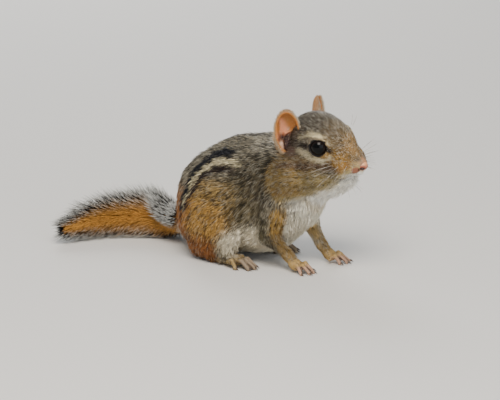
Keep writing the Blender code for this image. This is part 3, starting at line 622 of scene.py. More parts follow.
# The markings, with painted shade in a few creases and hollows. The marks are the chipmunk's own:
# a grizzled back with a cream stripe between two dark ones on each side and a thin dark line along
# the spine, a rufous rump, a gold flank, a cream brow and cheek about a dark eye line, and a white
# throat and belly. The painted shade lies in the crease before each haunch, in the fold behind each
# elbow, on the neck behind the pouches, between the toes and in the nostril slits. The skin and
# every hair take their colour from the same zones, which are the same on both sides.
STRIPES = {
    "blue-black": [
        (0.5, 12.4, 57.5), (-5.7, 11.7, 57.2), (-11.5, 11.5, 55.3), (-16.1, 12.0, 52.7), (-19.5, 13.6, 49.2),
        (-22.2, 15.5, 44.9), (-23.9, 18.4, 40.7), (-26.2, 19.9, 35.1), (-28.3, 19.8, 29.6),
    ],
    "cream": [
        (7.2, 15.8, 53.6), (2.0, 15.0, 53.6), (-3.8, 14.9, 53.4), (-9.6, 14.9, 52.0), (-14.1, 15.4, 49.6),
        (-17.8, 16.5, 46.4), (-20.7, 18.9, 42.3), (-23.5, 20.7, 36.9), (-26.2, 20.9, 31.5),
    ],
    "dark brown": [
        (3.2, 17.2, 48.7), (-0.8, 16.8, 49.8), (-5.5, 16.9, 49.6), (-10.1, 17.2, 48.0), (-13.4, 18.2, 45.9),
        (-16.6, 20.2, 42.6), (-19.3, 21.4, 39.0), (-21.8, 22.1, 34.9), (-24.6, 22.0, 30.2),
    ],
}


def waver(points, size):
    """A smooth uneven push of up to about 1, that changes over size millimetres."""
    ways = np.array([(1.0, 0.6, -0.4), (-0.5, 1.0, 0.7), (0.4, -0.7, 1.0)])
    turns = points @ ways.T * (2 * math.pi / size)
    return np.stack([np.sin(turns[:, k] + 1.7 * np.cos(0.73 * turns[:, k - 1] + k)) for k in range(3)], 1)


def markings_and_painted_shade(points):
    """The coat's colour at each point, with painted shade in some creases and hollows, and how much it is
    flecked with pale and dark hairs.
    """
    side, face = sides_of(points + 0.45 * waver(points, 5.0))
    x, y, z = side.T
    ahead, _, up = face.T
    colour = np.tile(linear("#877f6c"), (len(points), 1))
    fleck = np.ones(len(points))

    def lay(code, amount, flecks):
        colour[:] += (linear(code) - colour) * amount[:, None]
        fleck[:] += (flecks - fleck) * amount

    # Body, from the back down.
    lay("#a9a18e", smooth(6.0, 14.0, x) * smooth(56.0, 61.0, z), 1.0)
    lay("#5a513e", zone(side, (13.5, 15.5, 44.0), (11, 9, 15), 0.45), 1.0)
    lay("#6e6247", zone(side, (5.0, 19.0, 34.0), (11, 8, 13), 0.4), 1.0)
    lay("#a78a55", zone(side, (-9.0, 23.0, 37.0), (15, 8, 9), 0.45), 0.8)
    lay("#b58c48", zone(side, (-13.0, 25.0, 25.0), (17, 9, 12), 0.45), 0.7)
    lay("#a3682c", smooth(-17.0, -29.0, x - 0.25 * (z - 25.0)) * smooth(44.0, 30.0, z), 0.5)
    low = smooth(22.0, 12.0, z) * smooth(-4.0, -9.5, x) + smooth(-30.0, -38.0, x) * smooth(38, 24, z)
    lay("#8f5a2a", np.clip(low, 0.0, 1.0), 0.45)
    # Painted shadow: a dark band in the crease where each haunch meets the flank.
    haunch_crease_shadow = [(-0.5, 22.0, 39.0), (3.0, 22.0, 31.0), (6.0, 21.0, 23.0)]
    lay("#43361c", band(side, haunch_crease_shadow, 2.0, 0.9) * 0.85, 0.6)
    belly = smooth(24.0, 18.0, z - 0.35 * (x - 4.0)) * smooth(-4.5, 0.5, x + 0.25 * (z - 12.0))
    belly *= smooth(26.0, 18.0, x)
    lay("#ddd3ba", belly, 0.04)
    lay("#e9e1cc", smooth(12.0, 6.0, y) * smooth(20.0, 13.0, z), 0.0)
    lay("#f0ead8", zone(side, (37.0, 0.0, 33.0), (13, 14.5, 19), 0.3), 0.0)
    lay("#e6dfcb", zone(side, (30.0, 6.0, 22.0), (8, 9, 12), 0.3), 0.0)
    # Legs.
    leg = on_right_leg(points, side)
    lay("#ad8a4a", band(leg, [(26.5, 16.5, 31.0), (23.5, 15.5, 19.0), (29.0, 13.0, 9.5)], 4.4, 0.4), 0.5)
    # The back of each fore leg: grey-olive fur, darkened as painted shade in the fold behind the elbow.
    lay("#5f573f", band(leg, [(18.2, 18.2, 27.0), (17.8, 17.5, 19.0), (20.5, 16.0, 12.5)], 3.4, 0.6), 0.8)
    lay("#b3935a", smooth(12.0, 8.5, z) * smooth(23.0, 27.0, x), 0.6)
    inner = band(leg, [(27.0, 8.0, 27.0), (26.0, 9.0, 16.0)], 4.0, 0.5) * (points[:, 1] > 0)
    lay("#c3a468", inner * smooth(30.0, 22.0, z), 0.3)
    lay("#c39c80", smooth(5.2, 3.2, z) * smooth(34.0, 38.0, leg[:, 0]), 0.1)
    hind = smooth(7.5, 5.0, z) * smooth(-12.0, -6.0, x) * smooth(20.0, 14.0, x) * smooth(8.0, 11.0, y)
    lay("#a58b5a", hind, 0.8)
    lay("#93806a", hind * smooth(5.0, 9.0, x), 0.6)
    # Painted shade in the grooves between the toes.
    lay("#4a3a2e", smooth(0.9, 0.1, field(toe_gaps, points)) * 0.8, 0.0)
    # Stripes, which fade in over the shoulder and run down to the rump.
    start = smooth(7.0, 0.0, x)
    lay("#2c241d", smooth(2.1, 1.0, y) * smooth(18.0, 10.0, x) * smooth(30.0, 38.0, z) * 0.9, 0.25)
    lay("#2f211a", band(side, STRIPES["dark brown"], 2.0, 0.28) * start, 0.25)
    lay("#d6c9a2", band(side, STRIPES["cream"], 1.6, 0.3) * smooth(9.0, 1.0, x), 0.12)
    lay("#16171d", band(side, STRIPES["blue-black"], 2.15, 0.28) * start, 0.12)

    # Head, from the crown down to the throat.
    head = head_share(points)
    # Painted shadow: dark olive on the neck just behind each pouch, where the pouch overhangs it.
    pouch_shadow = smooth(6.5, 1.5, POUCH.distance(face)) * (1.0 - head)
    lay("#3f3826", pouch_shadow * smooth(46.0, 52.0, z + 0.4 * (x - 20.0)), 0.8)
    lay("#756a58", head, 1.0)
    lay("#84704f", head * smooth(-2.0, 6.0, ahead) * smooth(-6.0, 2.0, up), 1.0)
    lay("#9d7b48", head * smooth(8.0, 14.5, ahead) * smooth(-5.0, 0.0, up), 0.9)
    lay("#a0782f", head * zone(face, (10.5, 9.0, -4.5), (8.0, 6.5, 4.2), 0.5), 0.95)
    lay("#a08049", head * smooth(-3.5, -7.5, up) * smooth(10.0, 0.0, ahead), 1.0)
    lay("#b3924c", head * zone(face, (-15.3, 16.0, -20.0), (13, 12, 10.5), 0.22), 0.9)
    lay("#b8924c", head * zone(face, (-9.0, 18.0, -25.0), (13, 8, 3.4), 0.6), 0.6)
    lay("#b99f5c", head * zone(face, (3.0, 12.0, -17.0), (12, 8, 6.5), 0.5), 1.0)
    lay("#8a7060", head * band(face, [(-15.0, 13.5, -3.0), (-12.5, 14.0, -4.5)], 2.6, 0.5), 0.25)
    cheek_line = [
        (-17.0, 19.3, -11.2), (-7.7, 16.2, -9.8), (1.5, 14.6, -8.4), (9.4, 12.1, -8.0), (12.6, 8.6, -7.6)
    ]
    lay("#6d503a", head * band(face, cheek_line, 1.8, 0.7) * 0.85, 0.8)
    lay("#ab7c38", head * zone(face, (14.1, 6.0, -8.6), (5.0, 5.0, 3.2), 0.4), 0.7)
    spots = np.full(len(points), 9.0)
    for row in range(4):
        for place in range(4):
            spot = (16.3 - 1.8 * place - 0.5 * row, 3.6 + 0.95 * place, -6.4 - 1.2 * row)
            spots = np.minimum(spots, np.linalg.norm((face - spot) * (1.0, 0.25, 1.3), axis=1))
    lay("#3a2514", head * smooth(1.0, 0.55, spots) * 0.9, 0.0)
    lay("#b49866", head * zone(face, (17.8, 3.0, -6.6), (2.2, 3.0, 2.0), 0.5), 0.3)
    under_eye = [
        (-9.0, 13.9, -3.2), (-6.7, 13.7, -3.6), (-0.1, 14.0, -5.4), (4.9, 12.4, -5.6), (8.6, 10.5, -3.6)
    ]
    lay("#d6c8a2", head * band(face, under_eye, 1.25, 0.5), 0.25)
    brow = [(-9.0, 12.8, 3.4), (-5.6, 12.6, 5.4), (-1.8, 10.9, 6.8), (3.8, 9.9, 6.0), (7.6, 9.2, 3.0)]
    lay("#d8c89c", head * band(face, brow, 1.1, 0.5), 0.25)
    lay("#2c221c", head * band(face, [(-8.0, 13.8, 0.6), (-2.5, 13.6, 0.2)], 1.2, 0.6), 0.2)
    lay("#241b17", head * band(face, [(6.0, 10.2, -0.4), (8.4, 9.0, -1.6)], 1.1, 0.6), 0.2)
    lay("#14100f", head * zone(face, LIDS_AT, (5.1, 5.1, 4.5), 0.07), 0.0)
    white_from = ((-20.0, -10.0, 0.0, 8.5, 14.6, 18.4), (-30.0, -28.3, -24.8, -19.5, -12.4, -10.4))
    below = np.interp(ahead, *white_from) - up
    lay("#cdb87e", head * smooth(-4.2, -1.0, below), 0.6)
    lay("#f6f1e4", head * smooth(-1.4, 1.2, below), 0.0)
    lay("#b98a66", head * zone(face, (20.0, 0.0, -6.0), (2.6, 2.4, 3.0), 0.3), 0.1)
    lay("#8d5c46", head * zone(face, (18.5, 4.0, -9.1), (2.1, 2.8, 1.5), 0.3), 0.0)
    # Painted shade in the slit that runs back from each nostril.
    lay("#38201a", head * band(face, NOSE_SLIT, 0.5, 0.4), 0.0)
    lay("#f1ecdf", zone(face, (-22.5, 12.2, 1.5), (3.6, 4.0, 5.2), 0.4), 0.0)
    # Tail, rufous all round under its long hair.
    lay("#b27c3a", on_tail(points), 0.2)
    return colour, fleck


def tinted(mesh, colour):
    """Keeps a colour for each point of a mesh."""
    rgba = np.ones((len(colour), 4), np.float32)
    rgba[:, :3] = np.clip(colour, 0.0, 1.0)
    mesh.attributes.new("tone", "FLOAT_COLOR", "POINT").data.foreach_set("color", rgba.ravel())


def toned(name, grain, shades, bump=(), pattern="ShaderNodeTexNoise", **shader_settings):
    """A material in the colours kept on its mesh, under a fine pattern in the object's own space.

    grain holds the pattern's settings, shades the least and the most that it multiplies the
    colour by, and bump its strength and its depth in metres, below zero where it is a hollow.
    """
    made, shader, tree = new_material(name, **shader_settings)
    tone = add_node(tree, "ShaderNodeAttribute", attribute_name="tone")
    place = add_node(tree, "ShaderNodeTexCoord")
    fine = add_node(tree, pattern, [(place.outputs["Object"], "Vector")], **grain)
    shade = add_node(
        tree, "ShaderNodeMapRange", [(fine.outputs[0], "Value")], To_Min=shades[0], To_Max=shades[1]
    )
    both = [(tone.outputs["Color"], 6), (shade.outputs[0], 7)]
    mix = add_node(tree, "ShaderNodeMix", both, data_type="RGBA", blend_type="MULTIPLY")
    mix.inputs[0].default_value = 1.0
    tree.links.new(mix.outputs[2], shader.inputs["Base Color"])
    if bump:
        strength, depth = bump
        raised = add_node(
            tree,
            "ShaderNodeBump",
            [(fine.outputs[0], "Height")],
            Strength=strength,
            Distance=abs(depth),
            invert=depth < 0.0,
        )
        tree.links.new(raised.outputs[0], shader.inputs["Normal"])
    return made, shader


depth_here = coat_length(skin_points)
skin_normals = read(skin.data.vertices, "normal", 3)
lifted = skin_points + skin_normals * (LIE_SHARE * depth_here)[:, None]
skin_colour, _ = markings_and_painted_shade(lifted)
# The skin is painted darker where the hair over it is long, down to half its colour: painted shade under and
# between the locks.
tinted(skin.data, skin_colour * (0.9 - 0.45 * smooth(0.6, 4.0, depth_here))[:, None])


def unwrapped(thing):
    """Gives a finished mesh the map that its colours are kept on."""
    bpy.context.view_layer.objects.active = thing
    for other in bpy.context.selected_objects:
        other.select_set(False)
    thing.select_set(True)
    thing.data.uv_layers.new(name="OFBake")
    bpy.ops.object.mode_set(mode="EDIT")
    bpy.ops.mesh.select_all(action="SELECT")
    bpy.ops.uv.smart_project(angle_limit=math.radians(66), island_margin=0.002)
    bpy.ops.object.mode_set(mode="OBJECT")


def finished(thing, slot, *nodes):
    """Puts a mesh made in the animal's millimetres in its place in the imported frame."""
    put_points(thing.data, (points_of(thing.data) + SHIFT) * MM)
    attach(thing, "root")
    if nodes:
        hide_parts(*nodes)


unwrapped(skin)

# Short fur over skin: dull, with the lie of the finest fur as grain and bump, 0.7 mm apart.
skin_finish, _ = toned(
    "short fur over skin",
    dict(Scale=1400.0, Detail=3.0),
    (0.72, 1.28),
    (0.5, 0.2 * MM),
    Roughness=0.72,
    Specular_IOR_Level=0.25,
)
skin.data.materials.append(skin_finish)


# The coat. Tufts of hair root in the skin and lie along the body from the nose back, each a thin
# tapered closed lock. Their tips come out where the solids' surface is, and they are longest
# on the rump and throat and shortest on the face and feet.
COMB = np.array(
    [
        # place, then the way the hair lies there, with both sides laid on one
        (20, 0, 62, -1.0, 0.0, 0.05), (-10, 0, 57, -1.0, 0.0, -0.15), (-27, 0, 50, -0.75, 0.0, -0.7),
        (-38, 5, 34, -0.3, 0.1, -1.0), (-36, 10, 18, -0.35, 0.1, -1.0), (0, 15, 50, -1.0, 0.1, -0.15),
        (-14, 15, 49, -0.8, 0.1, -0.6), (-24, 20, 38, -0.45, 0.05, -1.0), (-5, 22, 38, -0.9, 0.05, -0.5),
        (-16, 25, 30, -0.75, 0.05, -0.75), (-20, 23, 14, -0.45, 0.0, -1.0), (-5, 25, 16, -0.45, 0.0, -1.0),
        (-6, 24, 8, 0.2, 0.0, -1.0), (14, 16, 50, -0.75, 0.15, -0.65), (12, 17, 38, -0.6, 0.1, -0.9),
        (4, 20, 26, -0.8, 0.1, -0.7), (6, 16, 14, -0.9, 0.1, -0.5), (22, 17, 40, -0.35, 0.1, -1.0),
        (25, 16, 28, -0.2, 0.0, -1.0), (22, 17, 19, 0.1, 0.0, -1.0), (28, 14, 12, 0.75, 0.0, -0.75),
        (38, 0, 34, 0.05, 0.0, -1.0), (34, 10, 34, -0.1, 0.1, -1.0), (30, 0, 22, -0.2, 0.0, -1.0),
        (42, 0, 44, -0.1, 0.0, -1.0), (10, 0, 4, -1.0, 0.0, 0.0), (16, 8, 62, -1.0, 0.1, -0.1),
    ],
    float,
)
HEAD_COMB = np.array(
    [
        # the same in the head's frame
        (18.4, 0, -4, -0.8, 0.0, 0.7), (14, 0, 0, -1.0, 0.0, 0.4), (4, 0, 9, -1.0, 0.1, 0.3),
        (-6, 0, 13, -1.0, 0.1, -0.05), (-18, 0, 10, -1.0, 0.1, -0.4), (14.6, 4, -5, -1.0, 0.35, 0.2),
        (9, 8, -3, -1.0, 0.4, 0.05), (0, 10, 6, -1.0, 0.3, 0.2), (-10, 12, 2, -1.0, 0.2, -0.15),
        (0, 13, -6, -1.0, 0.25, -0.1), (-10, 15, -7, -1.0, 0.25, -0.25), (8, 11, -11, -1.0, 0.4, -0.15),
        (-2, 15, -14, -1.0, 0.3, -0.3), (-14, 22, -14, -0.9, 0.2, -0.45), (-24, 20, -20, -0.5, -0.2, -0.9),
        (-14, 21, -26, -0.65, 0.0, -0.8), (-4, 16, -24, -0.8, 0.2, -0.6), (6, 9, -19, -0.9, 0.3, -0.4),
        (15.4, 4, -11, -0.8, 0.5, -0.4), (14, 0, -20, -0.9, 0.1, -0.5), (4, 0, -26, -0.7, 0.0, -0.8),
        (16.4, 2, -15, -0.7, 0.2, -0.7), (-21, 12, 2, -0.7, 0.5, -0.5),
    ],
    float,
)


def across_skin(ways, normals):
    """The ways turned to lie along the skin, at unit length."""
    ways = ways - (ways * normals).sum(1)[:, None] * normals
    return ways / np.maximum(np.linalg.norm(ways, axis=1), 1e-6)[:, None]


def combed(points, normals):
    """The way the hair lies at each point of the skin."""
    side, face = sides_of(points)
    on_face = head_share(points)[:, None]
    total = np.zeros_like(points)
    for spots, table, reach, share in ((side, COMB, 6.0, 1.0 - on_face), (face, HEAD_COMB, 3.6, on_face)):
        ways, weight = np.zeros_like(points), np.zeros(len(points))
        for row in table:
            off = np.linalg.norm(spots - row[:3], axis=1) / reach
            near = np.exp(-0.5 * off**2) + 1e-7 + 2e-3 / (1.0 + off) ** 4
            ways += near[:, None] * row[3:]
            weight += near
        ways /= weight[:, None]
        if table is COMB:
            ways[:, 1] *= np.where(points[:, 1] < 0, -1.0, 1.0)
        else:
            ways[:, 1] *= np.where((points - HEAD_AT) @ HEAD_TURN[:, 1] < 0, -1.0, 1.0)
            ways = ways @ HEAD_TURN.T
        total += share * ways
    return across_skin(total, normals)


def sown(thing, density, seed):
    """Roots spread over a mesh, density a square millimetre: their places, normals and map places."""
    mesh = thing.data
    mesh.calc_loop_triangles()
    corners = read(mesh.loop_triangles, "vertices", 3, np.int32)
    loops = read(mesh.loop_triangles, "loops", 3, np.int32)
    points, normals = points_of(mesh), read(mesh.vertices, "normal", 3).astype(float)
    patches = read(mesh.uv_layers["OFBake"].uv, "vector", 2)
    a, b, c = (points[corners[:, k]] for k in range(3))
    area = np.linalg.norm(np.cross(b - a, c - a), axis=1) / 2
    running = np.cumsum(area * density((a + b + c) / 3, normals[corners[:, 0]]))
    rng = np.random.default_rng(seed)
    count = int(running[-1])
    face = np.searchsorted(running, (np.arange(count) + rng.random(count)) * running[-1] / count)
    face = np.minimum(face, len(corners) - 1)
    share = rng.dirichlet((1.0, 1.0, 1.0), count)[:, :, None]
    root = (points[corners[face]] * share).sum(1)
    normal = (normals[corners[face]] * share).sum(1)
    return root, normal / np.linalg.norm(normal, axis=1)[:, None], (patches[loops[face]] * share).sum(1)


def locks(name, spine, upward, width, tone, patch, finish, limit=190_000):
    """Closed three-sided tapered locks, as meshes of fewer triangles than limit.

    spine is (locks, points, 3) from root to tip, upward the way each lock's ridge faces, width
    its half width at each point but the tip, tone its colour at each point, and patch the place
    of its root on the map.
    """
    count, steps = spine.shape[0], spine.shape[1] - 1
    along = np.diff(spine, axis=1)
    along /= np.maximum(np.linalg.norm(along, axis=2, keepdims=True), 1e-9)
    side = np.cross(upward[:, None], along)
    side /= np.maximum(np.linalg.norm(side, axis=2, keepdims=True), 1e-9)
    ridge = np.cross(along, side)
    ring = spine[:, :-1, None] + width[:, :, None, None] * np.stack([-side, side, 0.8 * ridge], 2)
    points = np.concatenate([ring.reshape(count, -1, 3), spine[:, -1:]], 1)
    tones = np.concatenate([np.repeat(tone[:, :-1], 3, 1), tone[:, -1:]], 1)
    rise = np.repeat(np.linspace(0.0, 0.003, steps + 1), 3)[: 3 * steps + 1]
    rise[1:-1:3] += 0.0005
    spread = np.append(np.tile((-0.0015, 0.0, 0.0015), steps), 0.0)
    places = patch[:, None] + np.stack([spread, rise], 1)
    faces = [(0, 2, 1)]
    for k in range(0, 3 * (steps - 1), 3):
        for i, j in ((0, 1), (1, 2), (2, 0)):
            faces += [(k + i, k + j, k + 3 + j), (k + i, k + 3 + j, k + 3 + i)]
    k, tip = 3 * (steps - 1), 3 * steps
    faces += [(k, k + 1, tip), (k + 1, k + 2, tip), (k + 2, k, tip)]
    faces = np.array(faces)
    each = limit // len(faces)
    made = []
    for number, first in enumerate(range(0, count, each), 1):
        part = slice(first, min(first + each, count))
        size = part.stop - part.start
        corner = (faces[None] + np.arange(size)[:, None, None] * (tip + 1)).ravel()
        mesh = bpy.data.meshes.new(name)
        mesh.vertices.add(size * (tip + 1))
        mesh.loops.add(len(corner))
        mesh.polygons.add(len(corner) // 3)
        mesh.vertices.foreach_set("co", points[part].astype(np.float32).ravel())
        mesh.loops.foreach_set("vertex_index", corner.astype(np.int32))
        mesh.polygons.foreach_set("loop_start", np.arange(0, len(corner), 3, dtype=np.int32))
        mesh.update(calc_edges=True)
        mesh.uv_layers.new(name="OFBake").uv.foreach_set(
            "vector", places[part].reshape(-1, 2)[corner].astype(np.float32).ravel()
        )
        tinted(mesh, tones[part].reshape(-1, 3))
        made.append(placed(f"{name}_{number}", mesh, finish))
    return made


# Hair: keratin, with a soft gloss along each lock and a slight change of shade every 3 mm.
hair_finish, _ = toned(
    "chipmunk guard hair",
    dict(Scale=300.0, Detail=2.0),
    (0.75, 1.25),
    Roughness=0.55,
    Specular_IOR_Level=0.35,
)


def clumps(root, size):
    """Neighbouring locks that cling together: the way to each clump's middle, and its two draws."""
    cell = np.floor((root + 0.35 * size * waver(root, 5.0 * size)) / size).astype(np.int64)
    key = (cell * (73856093, 19349663, 83492791)).sum(1)
    _, which, count = np.unique(key, return_inverse=True, return_counts=True)
    middle = np.stack([np.bincount(which, root[:, k]) for k in range(3)], 1) / count[:, None]
    draws = np.random.default_rng(77).random((len(count), 2))
    return middle[which] - root, draws[which]


CLINGING = 0.62  # share of the locks that are as dark or pale as their clump
FLECKED = 0.27  # share of the locks that are dark, and of those that are pale, in a grizzled coat


def hair_tones(colour, fleck, draws, chance, steps, root_shade):
    """Each lock's colour from root to tip. Some clumps are dark, and some have pale tips. Roots are darker
    and greyer: the hair's own slate base, and painted shade deep in the coat.
    """
    lively = np.where(chance.random(len(colour)) < CLINGING, draws[:, 0], chance.random(len(colour)))
    shade = (0.78 + 0.3 * draws[:, 1] + 0.2 * chance.random(len(colour)))[:, None]
    dark = (lively < FLECKED * fleck)[:, None]
    pale = (lively > 1.0 - FLECKED * fleck)[:, None]
    grey = colour.mean(1, keepdims=True)
    body = np.where(dark, colour * 0.22, colour * shade)
    tip = np.where(pale, 0.35 * colour + 0.65 * linear("#efe8d4"), body * 1.12)
    root_shade = root_shade + (0.92 - root_shade) * smooth(0.35, 0.65, grey[:, 0])
    root = root_shade[:, None] * (0.6 * body + 0.4 * grey)
    mix = np.linspace(0.0, 1.0, steps)[None, :, None]
    low = np.clip(mix * 2.0, 0.0, 1.0)
    high = np.clip(mix * 2.0 - 1.0, 0.0, 1.0)
    return root[:, None] + (body - root)[:, None] * low + (tip - body)[:, None] * high


def laid(root, normal, way, length, lift, gather, steps):
    """Spines that leave the skin and lie over along way, their tips near the solids' surface."""
    depth = LIE_SHARE * coat_length(root)
    spots = [root - normal * 0.3]
    for step in range(1, steps):
        share = step / (steps - 1)
        spot = root + way * (length * share)[:, None] + normal * (depth * 0.8 * share)[:, None]
        spot = spot + gather * share
        goal = -depth + (depth + lift) * (1.0 - (1.0 - share) ** 1.8)
        off = field(flesh, spot) - goal
        spots.append(spot - normal * np.clip(off, -2.5, 2.5)[:, None])
    return np.stack(spots, 1)


thin_out = 1.0
eye_centres = [HEAD_TURN @ (EYE_AT * flip) + HEAD_AT for flip in SIDES.values()]


def coat_density(points, normals, short):
    """Locks a square millimetre, of the long coat or of the short hair on face, legs and feet."""
    length = coat_length(points)
    clear = np.ones(len(points))
    for centre in eye_centres:
        off = np.linalg.norm(points - centre, axis=1)
        clear *= smooth(EYE_RADIUS + 0.9, EYE_RADIUS + 1.3, off)
    clear *= smooth(0.35, 0.6, length) * smooth(0.9, 0.4, on_tail(points))
    clear *= smooth(0.0, 0.3, field(MOUTH, points))
    clear *= np.where((points[:, 2] < 2.5) & (normals[:, 2] < -0.1), 0.0, 1.0)
    under = np.where((points[:, 2] < 9.0) & (normals[:, 2] < -0.5), 0.4, 1.0)
    if short:
        return thin_out * clear * (length <= 3.2) * (26.0 - 5.5 * np.clip(length, 0.6, 3.2))
    return thin_out * clear * under * (length > 3.2) * (6.2 - 0.25 * length)


STANDING = 0.04  # share of the locks that stand up out of the coat

for name, short, steps, seed in (("coat_short", True, 2, 11), ("coat_long", False, 3, 12)):
    chance = np.random.default_rng(seed)
    root, normal, patch = sown(skin, lambda p, n: coat_density(p, n, short), seed)
    full = coat_length(root)
    length = full * chance.uniform(0.75, 1.15, len(root))
    way = combed(root, normal)
    swirl = np.cross(normal, way) * chance.normal(0.0, 0.16, len(root))[:, None]
    swirl += 0.10 * across_skin(waver(root, 9.0), normal)
    way = across_skin(way + swirl, normal)
    depth = LIE_SHARE * full
    lift = -depth * 0.75 * chance.random(len(root)) ** 1.6 + 0.1 * full / 6.0
    face = sides_of(root)[1]
    chin, behind_ear = (11.0, 0.0, -20.0), (-22.5, 11.0, 1.5)
    fuzz = np.maximum(zone(face, chin, (9, 9, 6.5), 0.3), zone(face, behind_ear, (5.5, 6, 6.5), 0.4))
    proud = chance.random(len(root)) < STANDING + 0.22 * fuzz
    lift = np.where(proud, (0.16 + 0.3 * fuzz) * full * chance.uniform(0.4, 1.0, len(root)), lift)
    gather, draws = clumps(root, 0.75 if short else 1.5)
    gather = across_skin(gather, normal) * np.minimum(np.linalg.norm(gather, axis=1), 1.2)[:, None]
    spine = laid(root, normal, way, length, lift, 0.7 * gather, steps)
    spine[:, :, 2] = np.maximum(spine[:, :, 2], 0.3)
    base = (0.085 + 0.024 * full) * chance.uniform(0.75, 1.25, len(root)) / math.sqrt(thin_out)
    width = base[:, None] * (np.array([[1.0]]) if short else np.array([[0.75, 1.0]]))
    lifted = root + normal * (LIE_SHARE * full)[:, None]
    colour, fleck = markings_and_painted_shade(lifted + 0.35 * chance.normal(size=root.shape))
    # Roots are darker where the coat is long: painted shade deep in the coat.
    tone = hair_tones(colour, fleck, draws, chance, steps, 0.75 - 0.3 * smooth(1.0, 5.0, full))
    for piece in locks(name, spine, normal, width, tone, patch, hair_finish):
        finished(piece, "head_coat" if short else "back_coat")


# Tail hair. Long straight locks stand out from the thin tail all round and lean to its tip, as on
# a bottle brush flattened on two sides. Each is rufous at the root, then black, then silver at
# the tip, and those of the underside, which faces the viewer, are short and all rufous.
def on_tail_line(points):
    """How far along the tail each point is, and the tail's own directions there."""
    line = np.array([sample[0] for sample in TAIL_SAMPLES])
    near = np.linalg.norm(points[:, None] - line[None], axis=2).argmin(1)
    found = [np.array([sample[k] for sample in TAIL_SAMPLES])[near] for k in range(4)]
    return near / (len(TAIL_SAMPLES) - 1), *found


chance = np.random.default_rng(31)
root, normal, patch = sown(skin, lambda p, n: thin_out * 4.6 * smooth(0.05, 0.5, on_tail(p)), 31)
share, middle, along, broad, back = on_tail_line(root)
outward = across_skin(root - middle + 0.35 * chance.normal(size=root.shape), along)
beside, above = np.abs((outward * broad).sum(1)), (outward * back).sum(1)
below = smooth(0.35, 0.9, -above)
length = TAIL_HAIR * chance.uniform(0.72, 1.12, len(root)) * (0.74 + 0.34 * beside**2)
length *= 1.0 - 0.5 * below
length *= (0.45 + 0.55 * smooth(0.0, 0.2, share)) * (1.0 - 0.24 * smooth(0.8, 1.0, share))
lean = 58.0 - 34.0 * smooth(0.55, 1.0, share) - 14.0 * below
lean = np.radians(lean + chance.normal(0.0, 6.0, len(root)))
spots = [root - normal * 0.3]
for step, turn in ((0.26, -4.0), (0.1, 0.0), (0.24, 4.0), (0.12, 8.0), (0.28, 13.0)):
    angle = np.maximum(lean - np.radians(turn), 0.1)
    way = along * np.cos(angle)[:, None] + outward * np.sin(angle)[:, None]
    spots.append(spots[-1] + way * (length * step)[:, None])
spine = np.stack(spots, 1)
low = chance.uniform(0.3, 1.6, len(root))[:, None]
spine[:, :, 2] = np.maximum(spine[:, :, 2], low)
base = chance.uniform(0.14, 0.24, len(root)) / math.sqrt(thin_out)
width = base[:, None] * np.array([[0.8, 1.0, 1.0, 0.9, 0.75]])
rufous = linear("#c08a3e") * chance.uniform(0.75, 1.2, (len(root), 1))
black = linear("#1b1918") * chance.uniform(0.7, 1.6, (len(root), 1))
silver = linear("#c2c2bc") * chance.uniform(0.6, 1.25, (len(root), 1))
tones = []
for number, above_tone in enumerate((rufous * 0.6, rufous, black, black, silver * 0.9, silver)):
    below_tone = rufous * (0.7 + 0.08 * number)
    tones.append(above_tone + (below_tone - above_tone) * below[:, None])
for piece in locks("tail_hair", spine, outward, width, np.stack(tones, 1), patch, hair_finish):
    finished(piece, "tail_hair", "tail_1", "tail_2", "tail_3", "tail_4")

# The skin goes to its place last, when every hair has taken its root from it.
paired = ("cheek_pouch", "foreleg", "thigh", "forefoot", "hindfoot")
paired = [f"{part}_{side}" for part in paired for side in SIDES]
finished(skin, "back_coat", "head", "neck", "torso", *paired)


# Ears. Each is a thin cup of skin that opens ahead and outwards, with a rolled front rim, a fold
# inside and a small flap before its passage. It is nearly bare inside and warm where light
# comes through, with short fur on its back and a fringe of fine hair on its rim.
ear_opens = Vector((0.60, 0.79, 0.08)).normalized()
ear_wide = Vector((-0.03, 0.13, 0.99)).cross(ear_opens).normalized()
EAR_TURN = np.array([ear_opens, ear_wide, ear_opens.cross(ear_wide)]).T
EAR_AT = np.array((-17.6, 12.6, 4.6))
EAR_HALF = np.array((3.2, 6.2, 11.0))
EAR_WALL = 0.62
ear_shell = Egg((0.0, 0.0, 0.0), EAR_HALF)
ear_hollow = Egg((0.8 + EAR_WALL, 0.0, 0.0), EAR_HALF + (0.8, -0.75 * EAR_WALL, -0.75 * EAR_WALL))
rim_line = [(1.25, 5.72 * math.cos(a), 10.2 * math.sin(a)) for a in np.linspace(-0.5, 3.9, 20)]
ear_parts = [Limb(a, b, 0.5, 0.5, soft=0.7) for a, b in zip(rim_line, rim_line[1:])]
ear_parts += [
    Limb((0.4, 5.4, 4.0), (0.9, 5.9, -3.0), 0.75, 1.15, soft=1.0),  # rolled front rim
    Limb((0.9, 5.9, -3.0), (-0.5, 4.6, -8.0), 1.15, 1.6, soft=1.0),
    Limb((-0.6, 3.6, -6.0), (-1.9, 1.4, -1.5), 0.9, 0.55, soft=1.2),  # fold
    Limb((-1.9, 1.4, -1.5), (-2.2, -2.4, 0.0), 0.55, 0.35, soft=1.2),
    Egg((1.0, 3.2, -7.6), (1.0, 1.6, 3.0), turned(0.0, -12.0), soft=0.9),  # flap
    Limb((1.5, -4.9, -5.0), (0.9, -2.9, -9.2), 0.7, 1.0, soft=1.0),  # rear lobe
]


